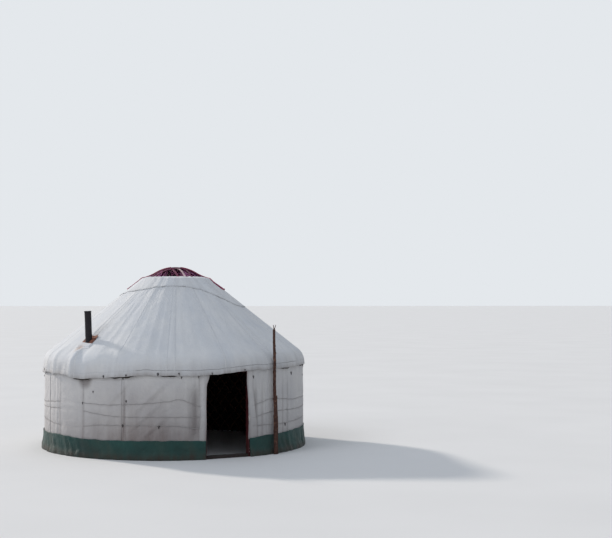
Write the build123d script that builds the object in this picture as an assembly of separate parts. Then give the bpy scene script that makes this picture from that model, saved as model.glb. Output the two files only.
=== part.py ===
from build123d import *
import math
import os

# Felt and canvas yurt with a lattice wall, bent roof poles and an arched crown.
# Sizes are in millimetres and angles in degrees. +Z is up, the doorway faces -Y,
# and the origin is on the ground, straight under the middle of the crown.
# A bearing is an angle about +Z, 0 at the doorway's middle and 90 towards +X.

# Clearances
seat_gap = 0.3
seam_gap = 0.6
flue_air = 14.0

# Lattice wall
wall_radius = 2750.0
wall_cover_thickness = 22.0
wall_cover_height = 1760.0
wall_cover_count = 8
lattice_height = 1600.0
slat_thickness = 14.0
slat_width = 30.0
slat_lap = 1.0
head_length = 60.0
diamond_rows = 5
lattice_sections = 8
section_diamonds = 8

# Doorway
door_opening_width = 884.0
door_opening_height = 1660.0
jamb_width = 54.0
frame_depth = 110.0
frame_setback = 5.0
lintel_height = 70.0
threshold_height = 60.0
lintel_poles = 4

# Roof poles
pole_width = 36.0
pole_depth = 30.0
pole_bend_height = 1820.0
pole_bend_radius = 300.0
pole_foot_length = 250.0
roof_slope = 38.0
tenon_size = 20.0
tenon_length = 40.0
tenon_drop = 4.0
tenon_root = 8.0

# Crown
ring_outer_radius = 715.0
ring_inner_radius = 590.0
ring_height = 110.0
ring_top_rise = 30.0
arch_width = 34.0
arch_thickness = 14.0
arch_spacing = 150.0
arch_rise = 255.0
arch_spring_drop = 20.0

# Roof cover
roof_cover_thickness = 14.0
hem_stand_off = 37.0
hem_height = 1600.0
hem_lean = 5.9
hem_drop = 90.0
hem_low_bearing = -112.0
shoulder_radius = 345.0
roof_gore_count = 8
first_gore_bearing = -46.5

# Crown cap, a plain cloth that laps over the tops of the gores
cap_thickness = 5.0
cap_lip = 35.0
cap_reaches = [
    (-22.0, 950.0),
    (-59.0, 1010.0),
    (-87.0, 1090.0),
    (-125.0, 1240.0),
    (-165.0, 1300.0),
    (155.0, 1340.0),
    (115.0, 1450.0),
    (75.0, 1500.0),
    (44.0, 1500.0),
    (28.0, 1250.0),
    (5.0, 1020.0),
]

# Crown cover, drawn over the rear half of the crown
crown_cover_thickness = 5.0
crown_cover_reach = 1020.0
crown_cover_bearing = 158.0
crown_cover_span = 180.0
crown_cover_break = 470.0

# Ground skirt
skirt_count = 4
skirt_height = 365.0
skirt_thickness = 9.0
skirt_flare = 36.0
skirt_flare_height = 150.0

# Girth ropes
rope_radius = 5.0
rope_heights = [650.0, 850.0, 1000.0]
rope_end_margin = 3.0

# Stove pipe
pipe_radius = 68.0
pipe_wall = 3.0
pipe_distance = 2360.0
pipe_bay = 11
pipe_top = 2850.0
pipe_bottom = 1900.0
pipe_lean = 2.5
pipe_lean_bearing = -112.0
band_height = 22.0
band_thickness = 4.0
plate_size = 330.0
plate_thickness = 3.0

# Prop pole that leans on the eave
prop_bearing = 22.9
prop_foot_radius = 27.0
prop_top_radius = 11.0
prop_length = 2480.0
prop_skirt_gap = 4.0
fork_length = 120.0
fork_angle = 24.0
fork_top_radius = 6.0

# Derived radii, from the outside in
slope_rise = math.tan(math.radians(roof_slope))
slope_cos = math.cos(math.radians(roof_slope))
lattice_outer_radius = wall_radius - wall_cover_thickness - seat_gap
lattice_inner_radius = lattice_outer_radius - 2 * slat_thickness + slat_lap
pole_radius = lattice_inner_radius - seat_gap

hem_radius = wall_radius + hem_stand_off
skirt_foot_radius = wall_radius + seat_gap + skirt_flare + skirt_thickness
prop_foot_distance = skirt_foot_radius + prop_skirt_gap + prop_foot_radius

# Derived doorway and lattice spacing
full_turn = 360.0
frame_half_width = door_opening_width / 2 + jamb_width
frame_top = door_opening_height + lintel_height
frame_front = math.sqrt(wall_radius**2 - frame_half_width**2) - frame_setback
frame_middle = frame_front - frame_depth / 2
door_half_bearing = math.degrees(math.asin((frame_half_width + seat_gap) / lattice_inner_radius))
section_angle = (full_turn - 2 * door_half_bearing) / lattice_sections
diamond_angle = section_angle / section_diamonds
lintel_pole_angle = 2 * door_half_bearing / lintel_poles

# Derived roof lines
bend_angle = 90.0 - roof_slope
pole_corner_height = pole_bend_height + pole_bend_radius * math.tan(math.radians(bend_angle / 2))
crown_seat = pole_corner_height + (pole_radius - ring_outer_radius) * slope_rise


def to_bearing(bearing):
    """Turn that carries a shape built towards +X to a bearing."""
    return Rot(0, 0, bearing - 90.0)


def slope_height(radius):
    """Height of the poles' upper side at a distance from the middle."""
    return crown_seat + (ring_outer_radius - radius) * slope_rise


def hem_edge_height(bearing):
    """Height of the roof hem's lower edge, which hangs lower on one side."""
    return hem_height - hem_drop * math.cos(math.radians(bearing - hem_low_bearing))


def hem_line_radius(height):
    """Outer radius of the hanging hem, which leans inwards as it rises."""
    return hem_radius - (height - hem_height) * math.tan(math.radians(hem_lean))


def offset_path(points, distance):
    """Path that runs beside the given one, to the left of its direction."""
    normals = []
    for (r1, z1), (r2, z2) in zip(points, points[1:]):
        length = math.dist((r1, z1), (r2, z2))
        normals.append(((z1 - z2) / length, (r2 - r1) / length))
    before = [normals[0]] + normals
    after = normals + [normals[-1]]
    shifted = []
    for (r, z), (a, b), (c, d) in zip(points, before, after):
        scale = distance / (1.0 + a * c + b * d)
        shifted.append((r + (a + c) * scale, z + (b + d) * scale))
    return shifted


def path_lines(points, bend):
    """Lines through the points, with a bend radius at the second one."""
    if not bend:
        return [Polyline(*points)]
    lines = [FilletPolyline(*points[:3], radius=bend)]
    if len(points) > 3:
        lines.append(Polyline(*points[2:]))
    return lines


def path_face(outer, inner, outer_bend=0.0, inner_bend=0.0):
    """Upright face between an outer and an inner path, ready to be turned about Z."""
    ends = [Line(outer[0], inner[0]), Line(outer[-1], inner[-1])]
    return Plane.XZ * make_face(path_lines(outer, outer_bend) + path_lines(inner, inner_bend) + ends)


def ring_part(face, start, end):
    """Face turned about Z from one bearing to another."""
    return to_bearing(start) * revolve(face, Axis.Z, revolution_arc=end - start)


def seam_angle(radius):
    """Half of a seam's gap, as an angle at a radius."""
    return math.degrees(seam_gap / 2 / radius)


def ring_rectangle(inner, outer, bottom, top):
    """Upright rectangle between two radii and two heights."""
    return path_face([(outer, bottom), (outer, top)], [(inner, bottom), (inner, top)])


def door_passage(half_width):
    """Block through the wall at the doorway, used to cut what passes it."""
    depth = wall_radius
    return Pos(0, -wall_radius, 0) * Box(2 * half_width, depth, 4 * lattice_height)


def lattice_layer(inner, outer, lean_sign):
    """Parallel slats of one layer of a lattice section, cut from a curved sheet."""
    gap = seam_angle(inner)
    sheet = ring_part(
        ring_rectangle(inner, outer, 0.0, lattice_height), gap, section_angle - gap
    )
    row_height = (lattice_height - 2 * head_length) / diamond_rows
    diamond_width = math.radians(diamond_angle) * outer
    lean = lean_sign * math.degrees(math.atan2(row_height, diamond_width))
    half_run = diamond_rows / 2 * diamond_angle
    blank = Rot(lean, 0, 0) * Box(lattice_height / 3, 2 * lattice_height, slat_width)
    slats = []
    for step in range(-diamond_rows - 1, section_diamonds + diamond_rows + 1):
        bearing = (step + 0.5) * diamond_angle - lean_sign * half_run
        slats.append(to_bearing(bearing) * Pos(outer, 0, lattice_height / 2) * blank)
    pieces = [sheet & slat for slat in slats]
    return [piece for piece in pieces if piece is not None and piece.volume > 0]


def lattice_section():
    """One wall section: two layers of slats that lap and hold at each crossing."""
    split_radius = lattice_inner_radius + slat_thickness
    inner = lattice_layer(lattice_inner_radius, split_radius, 1)
    outer = lattice_layer(split_radius - slat_lap, lattice_outer_radius, -1)
    return Part() + inner + outer


def wall_covers():
    """Felt and canvas round the lattice, in lengths that meet at upright seams."""
    inner = wall_radius - wall_cover_thickness
    face = ring_rectangle(inner, wall_radius, 0.0, wall_cover_height)
    gap = seam_angle(wall_radius)
    passage = door_passage(frame_half_width + seat_gap)
    covers = []
    for number in range(wall_cover_count):
        start = wall_cover_bearing(number)
        end = wall_cover_bearing(number + 1)
        length = ring_part(face, start + gap, end - gap)
        if number in (0, wall_cover_count - 1):
            length = length - passage
        covers.append(length)
    return covers


def wall_cover_bearing(number):
    """Bearing of an upright seam, counted from the doorway's middle."""
    return full_turn * number / wall_cover_count


def skirt_side(start, end):
    """One side of the ground skirt, sewn in lengths that stand on the ground."""
    outer = [
        (skirt_foot_radius, 0.0),
        (skirt_foot_radius - skirt_flare, skirt_flare_height),
        (skirt_foot_radius - skirt_flare, skirt_height),
    ]
    inner = [(radius - skirt_thickness, height) for radius, height in outer]
    face = path_face(outer, inner)
    gap = seam_angle(wall_radius)
    step = (end - start) / skirt_count
    passage = door_passage(frame_half_width + seat_gap)
    lengths = []
    for number in range(skirt_count):
        length = ring_part(face, start + number * step + gap, start + (number + 1) * step - gap)
        lengths.append(length - passage)
    return Compound(children=[solid for length in lengths for solid in length.solids()])


def pole_tip():
    """Square tenon at a pole's upper end, which enters the crown ring."""
    height = crown_seat - pole_depth / slope_cos / 2 - tenon_drop
    inner_end = ring_outer_radius + seat_gap - tenon_length
    outer_end = ring_outer_radius + seat_gap + tenon_root
    length = outer_end - inner_end
    return Pos((inner_end + outer_end) / 2, 0, height) * Box(length, tenon_size, tenon_size)


def roof_pole():
    """Bent pole: an upright foot, one bend at the shoulder and a straight slope."""
    foot_height = lattice_height - pole_foot_length
    end_radius = ring_outer_radius + seat_gap
    end_height = slope_height(end_radius)
    outer = [(pole_radius, foot_height), (pole_radius, pole_corner_height), (end_radius, end_height)]
    inner = offset_path(outer, pole_depth)
    inner[-1] = (end_radius, end_height - pole_depth / slope_cos)
    face = path_face(outer, inner, pole_bend_radius, pole_bend_radius - pole_depth)
    return extrude(face, amount=pole_width / 2, both=True) + pole_tip()


def lintel_pole():
    """Roof pole cut short, to stand on the lintel."""
    below = Box(2 * wall_radius, 2 * pole_width, crown_seat, align=(Align.CENTER, Align.CENTER, Align.MAX))
    return roof_pole() - Pos(wall_radius, 0, frame_top + seat_gap) * below


def pole_bearings():
    """Bearings of the poles over the lattice, from the doorway's right round to its left."""
    count = lattice_sections * section_diamonds
    return [door_half_bearing + (number + 0.5) * diamond_angle for number in range(count)]


def lintel_pole_bearings():
    """Bearings of the poles that stand on the lintel."""
    first = -door_half_bearing + lintel_pole_angle / 2
    return [first + number * lintel_pole_angle for number in range(lintel_poles)]


def pole_set(pole, bearings):
    """Poles in one node, side by side."""
    placed = [to_bearing(bearing) * pole for bearing in bearings]
    return Compound(children=[solid for each in placed for solid in each.solids()])


def crown_ring():
    """Bent wooden ring with a mortise for every pole."""
    outer = [
        (ring_outer_radius, crown_seat - ring_height),
        (ring_outer_radius, crown_seat),
        (ring_inner_radius, crown_seat + ring_top_rise),
    ]
    inner = [
        (ring_inner_radius, crown_seat - ring_height),
        (ring_inner_radius, crown_seat + ring_top_rise),
    ]
    lines = Polyline(*outer, inner[0], outer[0])
    ring = revolve(Plane.XZ * make_face(lines), Axis.Z, revolution_arc=full_turn)
    size = tenon_size + 2 * seat_gap
    height = crown_seat - pole_depth / slope_cos / 2 - tenon_drop
    reach = tenon_length + seat_gap
    mortise = Pos(ring_outer_radius + pole_depth / 2 - reach / 2, 0, height) * Box(
        reach + pole_depth, size, size
    )
    bearings = pole_bearings() + lintel_pole_bearings()
    return ring - [to_bearing(bearing) * mortise for bearing in bearings]


def crown_dome_radius():
    """Radius of the dome that the lower arches follow."""
    return (ring_inner_radius**2 + arch_rise**2) / (2 * arch_rise)


def crown_dome_centre():
    """Height of the middle of that dome."""
    return crown_seat - arch_spring_drop + arch_rise - crown_dome_radius()


def crown_arches(layer, turn):
    """Three bent laths side by side, which butt on the ring's inner face."""
    radius = crown_dome_radius() + layer * (arch_thickness + seat_gap)
    centre = Pos(0, 0, crown_dome_centre())
    shell = Sphere(radius + arch_thickness) - Sphere(radius)
    inside = Pos(0, 0, crown_seat) * Cylinder(ring_inner_radius - seat_gap, 4 * arch_rise)
    top = centre * shell & inside
    laths = []
    for number in (-1, 0, 1):
        slab = Box(2 * ring_outer_radius, arch_width, 2 * arch_rise)
        place = Rot(0, 0, turn) * Pos(0, number * arch_spacing, crown_seat + arch_rise / 2)
        laths.append(top & place * slab)
    return Compound(children=[solid for lath in laths for solid in lath.solids()])


def gore_underside():
    """Underside of the roof cover, from the hem up to the crown's opening."""
    lean = math.tan(math.radians(hem_lean))
    lowest = hem_height - 2 * hem_drop
    foot = hem_line_radius(lowest) - roof_cover_thickness / math.cos(math.radians(hem_lean))
    level = slope_height(0.0) + seat_gap / slope_cos
    corner_height = (level - slope_rise * (foot + lean * lowest)) / (1 - slope_rise * lean)
    corner_radius = foot - (corner_height - lowest) * lean
    frame_line = [
        (corner_radius, slope_height(corner_radius)),
        (ring_outer_radius, crown_seat),
        (ring_inner_radius, crown_seat + ring_top_rise),
    ]
    above = offset_path(frame_line, -seat_gap)
    return [(foot, lowest), (corner_radius, corner_height), above[1], above[2]]


def roof_gores():
    """Felt and canvas over the poles, in sewn gores that hang past the eave as a hem."""
    under = gore_underside()
    over = offset_path(under, -roof_cover_thickness)
    face = path_face(over, under, shoulder_radius, shoulder_radius - roof_cover_thickness)
    step = full_turn / roof_gore_count
    gap = seam_angle(wall_radius)
    tilt = math.degrees(math.atan2(hem_drop, hem_radius))
    trim = Box(4 * wall_radius, 4 * wall_radius, wall_radius, align=(Align.CENTER, Align.CENTER, Align.MAX))
    trim = to_bearing(hem_low_bearing) * Pos(0, 0, hem_height) * Rot(0, tilt, 0) * trim
    gores = []
    for number in range(roof_gore_count):
        start = first_gore_bearing + number * step
        gore = ring_part(face, start + gap, start + step - gap) - trim
        if (pipe_bearing() - start) % full_turn < step:
            gore = gore - pipe_place() * Cylinder(pipe_radius + flue_air, 2 * pipe_top)
        gores.append(gore)
    return gores


def pipe_bearing():
    """Bearing of the stove pipe, midway between two poles."""
    return -(door_half_bearing + pipe_bay * diamond_angle)


def pipe_seat_height():
    """Height of the roof cover's upper side where the pipe comes through."""
    return slope_height(pipe_distance) + (seat_gap + roof_cover_thickness) / slope_cos


def pipe_place():
    """Place and lean of the pipe's axis, at the roof's surface."""
    seat = to_bearing(pipe_bearing()) * Pos(pipe_distance, 0, pipe_seat_height())
    turn = pipe_lean_bearing - pipe_bearing()
    return seat * Rot(0, 0, turn) * Rot(0, pipe_lean, 0) * Rot(0, 0, -turn)


def pipe_tube(outer, inner, bottom, top):
    """Round tube on the pipe's axis between two heights above the ground."""
    height = top - bottom
    low = bottom - pipe_seat_height()
    tube = Cylinder(outer, height) - Cylinder(inner, height)
    return pipe_place() * Pos(0, 0, low + height / 2) * tube


def pipe_plate():
    """Flat metal plate on the roof cover, with a hole that the pipe passes."""
    lift = seat_gap + plate_thickness / 2
    seat = to_bearing(pipe_bearing()) * Pos(pipe_distance, 0, pipe_seat_height())
    plate = seat * Rot(0, roof_slope, 0) * Pos(0, 0, lift) * Box(plate_size, plate_size, plate_thickness)
    hole = pipe_place() * Cylinder(pipe_radius + seat_gap, 2 * plate_size)
    return plate - hole


def cap_line(lift):
    """Line above the gores, from beyond the cap's furthest reach to the opening."""
    under = offset_path(gore_underside(), -roof_cover_thickness - lift)
    reach = max(distance for _, distance in cap_reaches) + arch_spacing
    start = (reach, under[2][1] - (reach - under[2][0]) * slope_rise)
    lip = ring_inner_radius - cap_lip
    fall = (under[3][1] - under[2][1]) / (under[3][0] - under[2][0])
    return [start, under[2], (lip, under[3][1] + (lip - under[3][0]) * fall)]


def crown_cap():
    """Plain cloth cap over the gores' upper ends, uneven in its reach."""
    face = path_face(cap_line(seat_gap + cap_thickness), cap_line(seat_gap))
    sheet = revolve(face, Axis.Z, revolution_arc=full_turn)
    corners = []
    for bearing, reach in cap_reaches:
        turn = math.radians(bearing)
        corners.append((reach * math.sin(turn), -reach * math.cos(turn)))
    outline = make_face(Polyline(*corners, close=True))
    return sheet & extrude(outline, amount=2 * crown_seat)


def crown_cover():
    """Heavy cloth over the rear half of the arches, its edge down on the cap."""
    lift = crown_dome_radius() + 2 * arch_thickness + 2 * seat_gap
    centre = crown_dome_centre()
    line = cap_line(2 * seat_gap + cap_thickness)
    fall = (line[2][1] - line[1][1]) / (line[2][0] - line[1][0])
    rest = (line[1][0], line[1][1])
    crest = (line[2][0] + cap_lip, line[2][1] + cap_lip * fall)
    edge = (crown_cover_reach, rest[1] - (crown_cover_reach - rest[0]) * slope_rise)
    lower = [edge, rest, crest, (crown_cover_break, dome_height(lift, crown_cover_break))]
    upper = offset_path(lower, -crown_cover_thickness)
    upper_dome = lift + crown_cover_thickness
    upper[-1] = (crown_cover_break, dome_height(upper_dome, crown_cover_break))
    half = crown_cover_break / 2
    face = make_face(
        [
            Polyline(*lower),
            Polyline(*upper),
            Line(lower[0], upper[0]),
            dome_arc(lift, half),
            dome_arc(upper_dome, half),
            Line((0, centre + lift), (0, centre + upper_dome)),
        ]
    )
    start = crown_cover_bearing - crown_cover_span / 2
    return ring_part(Plane.XZ * face, start, start + crown_cover_span)


def dome_height(radius, distance):
    """Height of a dome of a radius at a distance from its middle."""
    return crown_dome_centre() + math.sqrt(radius**2 - distance**2)


def dome_arc(radius, half):
    """Arc of a dome from the middle out to the crown cover's break."""
    centre = crown_dome_centre()
    return ThreePointArc(
        (0, centre + radius),
        (half, dome_height(radius, half)),
        (crown_cover_break, dome_height(radius, crown_cover_break)),
    )


def girth_ropes():
    """Taut ropes round the wall cover, from one door jamb to the other."""
    distance = wall_radius + seat_gap + rope_radius
    end = math.degrees(math.asin((frame_half_width + rope_end_margin) / distance))
    ropes = []
    for height in rope_heights:
        section = Plane.XZ * Pos(distance, height) * Circle(rope_radius)
        ropes.append(ring_part(section, end, full_turn - end))
    return Compound(children=[solid for rope in ropes for solid in rope.solids()])


def frame_piece(width, height, x, bottom):
    """Straight timber of the door frame."""
    return Pos(x, -frame_middle, bottom + height / 2) * Box(width, frame_depth, height)


def door_jamb(side):
    """Upright jamb that stands on the ground."""
    height = door_opening_height - seat_gap
    return frame_piece(jamb_width, height, side * (frame_half_width - jamb_width / 2), 0.0)


def door_lintel():
    """Lintel across both jambs."""
    return frame_piece(2 * frame_half_width, lintel_height, 0.0, door_opening_height)


def door_threshold():
    """Threshold between the jambs."""
    return frame_piece(door_opening_width - 2 * seat_gap, threshold_height, 0.0, 0.0)


def prop_lean():
    """Lean that brings the prop pole against the hem's lower edge."""
    contact = hem_edge_height(prop_bearing)
    taper = (prop_foot_radius - prop_top_radius) / prop_length
    radius = prop_foot_radius - taper * contact
    distance = hem_line_radius(contact) + seat_gap + radius
    return math.degrees(math.atan2(prop_foot_distance - distance, contact))


def prop_pole():
    """Rough forked pole that stands on the ground and leans on the eave."""
    below = prop_foot_radius
    stem = Cone(prop_foot_radius, prop_top_radius, prop_length + below, align=(Align.CENTER, Align.CENTER, Align.MIN))
    pole = Pos(0, 0, -below) * stem
    prong = Cone(prop_top_radius - 1, fork_top_radius, fork_length, align=(Align.CENTER, Align.CENTER, Align.MIN))
    for lean in (-fork_angle / 2, fork_angle):
        pole = pole + Pos(0, 0, prop_length - prop_top_radius) * Rot(lean, 0, 0) * prong
    pole = to_bearing(prop_bearing) * Pos(prop_foot_distance, 0, 0) * Rot(0, -prop_lean(), 0) * pole
    ground = Box(8 * prop_foot_distance, 8 * prop_foot_distance, 4 * below, align=(Align.CENTER, Align.CENTER, Align.MAX))
    return pole - ground


def build_all():
    """Every piece of the yurt, by its node's name."""
    pieces = {}
    section = lattice_section()
    for number in range(lattice_sections):
        turn = Rot(0, 0, door_half_bearing + number * section_angle)
        pieces[f"lattice_section_{number + 1}"] = turn * section
    for number, cover in enumerate(wall_covers(), 1):
        pieces[f"wall_cover_{number}"] = cover
    pieces["ground_skirt_right"] = skirt_side(0.0, full_turn / 2)
    pieces["ground_skirt_left"] = skirt_side(full_turn / 2, full_turn)
    pole = roof_pole()
    bearings = pole_bearings()
    share = len(bearings) // len(pole_quarters)
    for number, name in enumerate(pole_quarters):
        pieces[name] = pole_set(pole, bearings[number * share : (number + 1) * share])
    pieces["roof_poles_over_door"] = pole_set(lintel_pole(), lintel_pole_bearings())
    for number, gore in enumerate(roof_gores(), 1):
        pieces[f"roof_gore_{number}"] = gore
    pieces["crown_ring"] = crown_ring()
    pieces["crown_arches_lower"] = crown_arches(0, 90.0)
    pieces["crown_arches_upper"] = crown_arches(1, 0.0)
    pieces["crown_cap"] = crown_cap()
    pieces["crown_cover"] = crown_cover()
    pieces["girth_ropes"] = girth_ropes()
    pieces["door_jamb_left"] = door_jamb(-1)
    pieces["door_jamb_right"] = door_jamb(1)
    pieces["door_lintel"] = door_lintel()
    pieces["door_threshold"] = door_threshold()
    pieces["stove_pipe"] = pipe_tube(pipe_radius, pipe_radius - pipe_wall, pipe_bottom, pipe_top)
    pieces["pipe_band"] = pipe_tube(
        pipe_radius + seat_gap + band_thickness, pipe_radius + seat_gap, pipe_top - band_height, pipe_top
    )
    pieces["pipe_plate"] = pipe_plate()
    pieces["prop_pole"] = prop_pole()
    return pieces


pole_quarters = [
    "roof_poles_front_right",
    "roof_poles_rear_right",
    "roof_poles_rear_left",
    "roof_poles_front_left",
]

os.makedirs("parts", exist_ok=True)
for name, piece in build_all().items():
    solids = piece.solids()
    shape = solids[0] if len(solids) == 1 else Compound(children=solids)
    export_step(shape, f"parts/{name}.step")
    print(name, len(solids), round(sum(solid.volume for solid in solids)))
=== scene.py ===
"""A felt-and-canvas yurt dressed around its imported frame: cloth, ropes, timbers and stove pipe."""

import logging
import math
from collections.abc import Callable, Sequence
from dataclasses import dataclass
from enum import Enum
from functools import cached_property
from typing import NamedTuple

import bmesh
import bpy
import numpy as np
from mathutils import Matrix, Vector


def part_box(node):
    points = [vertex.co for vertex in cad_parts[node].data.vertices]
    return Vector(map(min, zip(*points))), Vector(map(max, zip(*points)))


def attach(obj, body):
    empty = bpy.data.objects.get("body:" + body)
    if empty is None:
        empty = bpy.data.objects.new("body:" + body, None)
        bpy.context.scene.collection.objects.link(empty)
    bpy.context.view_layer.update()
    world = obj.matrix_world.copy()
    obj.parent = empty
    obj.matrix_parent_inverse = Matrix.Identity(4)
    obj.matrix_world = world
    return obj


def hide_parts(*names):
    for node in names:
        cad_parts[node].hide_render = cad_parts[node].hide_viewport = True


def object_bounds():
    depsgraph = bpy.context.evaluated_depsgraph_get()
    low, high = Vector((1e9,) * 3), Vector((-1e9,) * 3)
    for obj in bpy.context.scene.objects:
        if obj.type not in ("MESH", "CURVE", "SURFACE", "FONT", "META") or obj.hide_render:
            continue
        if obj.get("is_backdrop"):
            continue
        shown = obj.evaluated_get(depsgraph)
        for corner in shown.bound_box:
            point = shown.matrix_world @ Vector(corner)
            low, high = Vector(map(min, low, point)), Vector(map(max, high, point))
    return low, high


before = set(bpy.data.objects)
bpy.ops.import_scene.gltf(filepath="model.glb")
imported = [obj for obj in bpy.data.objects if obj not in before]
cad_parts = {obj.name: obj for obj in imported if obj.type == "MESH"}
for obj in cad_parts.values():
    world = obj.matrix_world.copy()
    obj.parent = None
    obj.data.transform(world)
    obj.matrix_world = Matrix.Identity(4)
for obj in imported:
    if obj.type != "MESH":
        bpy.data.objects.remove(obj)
cad_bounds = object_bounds()

log = logging.getLogger("yurt")

Grid = np.ndarray
Light = tuple[float, float, float, float]
Piece = bpy.types.Object
Socket = bpy.types.NodeSocket
Lines = list[tuple[Grid, Grid]]
TURN = 360.0


def linear(text: str) -> Light:
    """Turns the six hex digits of an sRGB colour into linear light with an alpha of 1."""
    parts = [int(text[i : i + 2], 16) / 255 for i in (0, 2, 4)]
    return (*(p / 12.92 if p <= 0.04045 else ((p + 0.055) / 1.055) ** 2.4 for p in parts), 1.0)


def place(bearing: Grid, radius: Grid, height: Grid) -> Grid:
    """Turns degrees from the doorway towards +X, radii and heights into points, with x, y, z last."""
    turn = np.radians(bearing)
    return np.stack(np.broadcast_arrays(radius * np.sin(turn), -radius * np.cos(turn), height), axis=-1)


def polar(points: Grid) -> tuple[Grid, Grid]:
    """Bearings and heights of points, the other way round from place."""
    return np.degrees(np.arctan2(points[..., 0], -points[..., 1])), points[..., 2]


def facing(bearing: Grid, rise: float = 0.0) -> Grid:
    """Directions outwards from the middle, tilted up by some degrees."""
    return place(bearing, math.cos(math.radians(rise)), math.sin(math.radians(rise)))


def rising(value: Grid, low: float, high: float) -> Grid:
    """Rises smoothly from 0 at low to 1 at high."""
    share = np.clip((value - low) / (high - low), 0.0, 1.0)
    return share * share * (3.0 - 2.0 * share)


def falling(value: Grid, low: float, high: float) -> Grid:
    """Falls smoothly from 1 at low to 0 at high."""
    return 1.0 - rising(value, low, high)


def bell(gap: Grid, width: float) -> Grid:
    """A bell that is 1 high at no gap and falls off over a width."""
    return np.exp(-((gap / width) ** 2))


def ring_gap(bearing: Grid, middle: float) -> Grid:
    """Signed degrees from a middle bearing, the short way round."""
    return (bearing - middle + TURN / 2) % TURN - TURN / 2


def ripple(bearing: Grid, seed: int, waves: Sequence[int]) -> Grid:
    """A closed uneven wave round the yurt, about 1 high.

    Args:
        bearing: Degrees round the yurt.
        seed: Fixes the phases.
        waves: Whole numbers of waves in a turn.

    Returns:
        The sum of the waves at each bearing.
    """
    phases = np.random.default_rng(seed).uniform(0.0, math.tau, len(waves))
    total = sum(np.sin(np.radians(bearing) * count + phase) for count, phase in zip(waves, phases))
    return total / math.sqrt(len(waves))


@dataclass(frozen=True)
class RoundLine:
    """A length that changes round the yurt, known at some bearings and softened between them."""

    knots: tuple[tuple[float, float], ...]
    low: float = 0.0
    soften: tuple[float, ...] = (0.0,)

    def at(self, bearing: Grid) -> Grid:
        """The length at each bearing.

        Args:
            bearing: Degrees round the yurt.

        Returns:
            Metres.
        """
        where, lengths = zip(*self.knots)
        turns = [(np.asarray(bearing, float) + step - self.low) % TURN + self.low for step in self.soften]
        return sum(np.interp(turn, where, lengths) for turn in turns) / len(turns)


@dataclass(frozen=True)
class Fold:
    """A soft ridge or hollow in cloth, along a line from one place to another."""

    start: tuple[float, float]
    end: tuple[float, float]
    width: float
    depth: float
    taper: float = 0.3

    def lift(self, bearing: Grid, run: Grid, radius: Grid | float) -> Grid:
        """How far the fold pushes the cloth outwards.

        Args:
            bearing: Degrees round the yurt.
            run: The second coordinate of the fold's ends, in metres.
            radius: Radius at which a bearing is measured as a length.

        Returns:
            Metres outwards at each place.
        """
        per_degree = math.radians(1.0) * radius
        across = ring_gap(self.end[0], self.start[0]) * per_degree
        along = self.end[1] - self.start[1]
        length = np.hypot(across, along)
        x = ring_gap(bearing, self.start[0]) * per_degree
        y = run - self.start[1]
        share = (x * across + y * along) / length**2
        off = (x * along - y * across) / length
        ends = rising(share, -self.taper, self.taper) * falling(share, 1 - self.taper, 1 + self.taper)
        return self.depth * bell(off, self.width) * ends


class Nodes:
    """Adds nodes to the tree of one material, background or geometry modifier."""

    def __init__(self, tree: bpy.types.NodeTree) -> None:
        """Takes the tree that the nodes go into."""
        self.tree = tree

    def add(
        self,
        kind: str,
        feeds: Sequence | dict = (),
        output: str | int | None = None,
        stops: Sequence[tuple[float, str]] = (),
        **settings: object,
    ) -> bpy.types.Node | Socket:
        """Adds a node with its settings and links.

        Args:
            kind: The node's type name.
            feeds: For each input, by name or in order, the socket that feeds it or its constant value.
            output: The output to return in place of the node.
            stops: Places and colours, for a ramp.
            settings: Properties of the node itself.

        Returns:
            The node, or its output.
        """
        node = self.tree.nodes.new(kind)
        for name, value in settings.items():
            setattr(node, name, value)
        for number, (spot, colour) in enumerate(stops):
            elements = node.color_ramp.elements
            element = elements[number] if number < len(elements) else elements.new(1.0)
            element.position = spot
            element.color = linear(colour)
        self.feed(node, feeds)
        return node if output is None else node.outputs[output]

    def feed(self, node: bpy.types.Node, feeds: Sequence | dict) -> None:
        """Links sockets to a node's inputs, or sets their constant values.

        Args:
            node: A node of this tree.
            feeds: For each input, by name or in order, the socket that feeds it or its constant value.
        """
        for key, value in feeds.items() if isinstance(feeds, dict) else enumerate(feeds):
            if isinstance(value, Socket):
                self.tree.links.new(value, node.inputs[key])
            else:
                node.inputs[key].default_value = value


@dataclass(frozen=True)
class Finish:
    """What every finish has: a material slot name, and nodes that feed the standard shader."""

    slot: str

    def recipe(self, nodes: Nodes) -> dict:
        """Adds the finish's nodes and says what feeds the shader."""
        raise NotImplementedError

    def make(self, name: str) -> bpy.types.Material:
        """Builds the material.

        Args:
            name: The material's name.

        Returns:
            The material.
        """
        material = bpy.data.materials.new(name)
        material.use_nodes = True
        nodes = Nodes(material.node_tree)
        nodes.feed(material.node_tree.nodes["Principled BSDF"], self.recipe(nodes))
        return material


class Weave(Enum):
    """How closely a cloth's threads lie, as a spacing in metres, drawn coarser than life to show."""

    CANVAS = 0.0035
    TARPAULIN = 0.0045
    WOOL = 0.006


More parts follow.
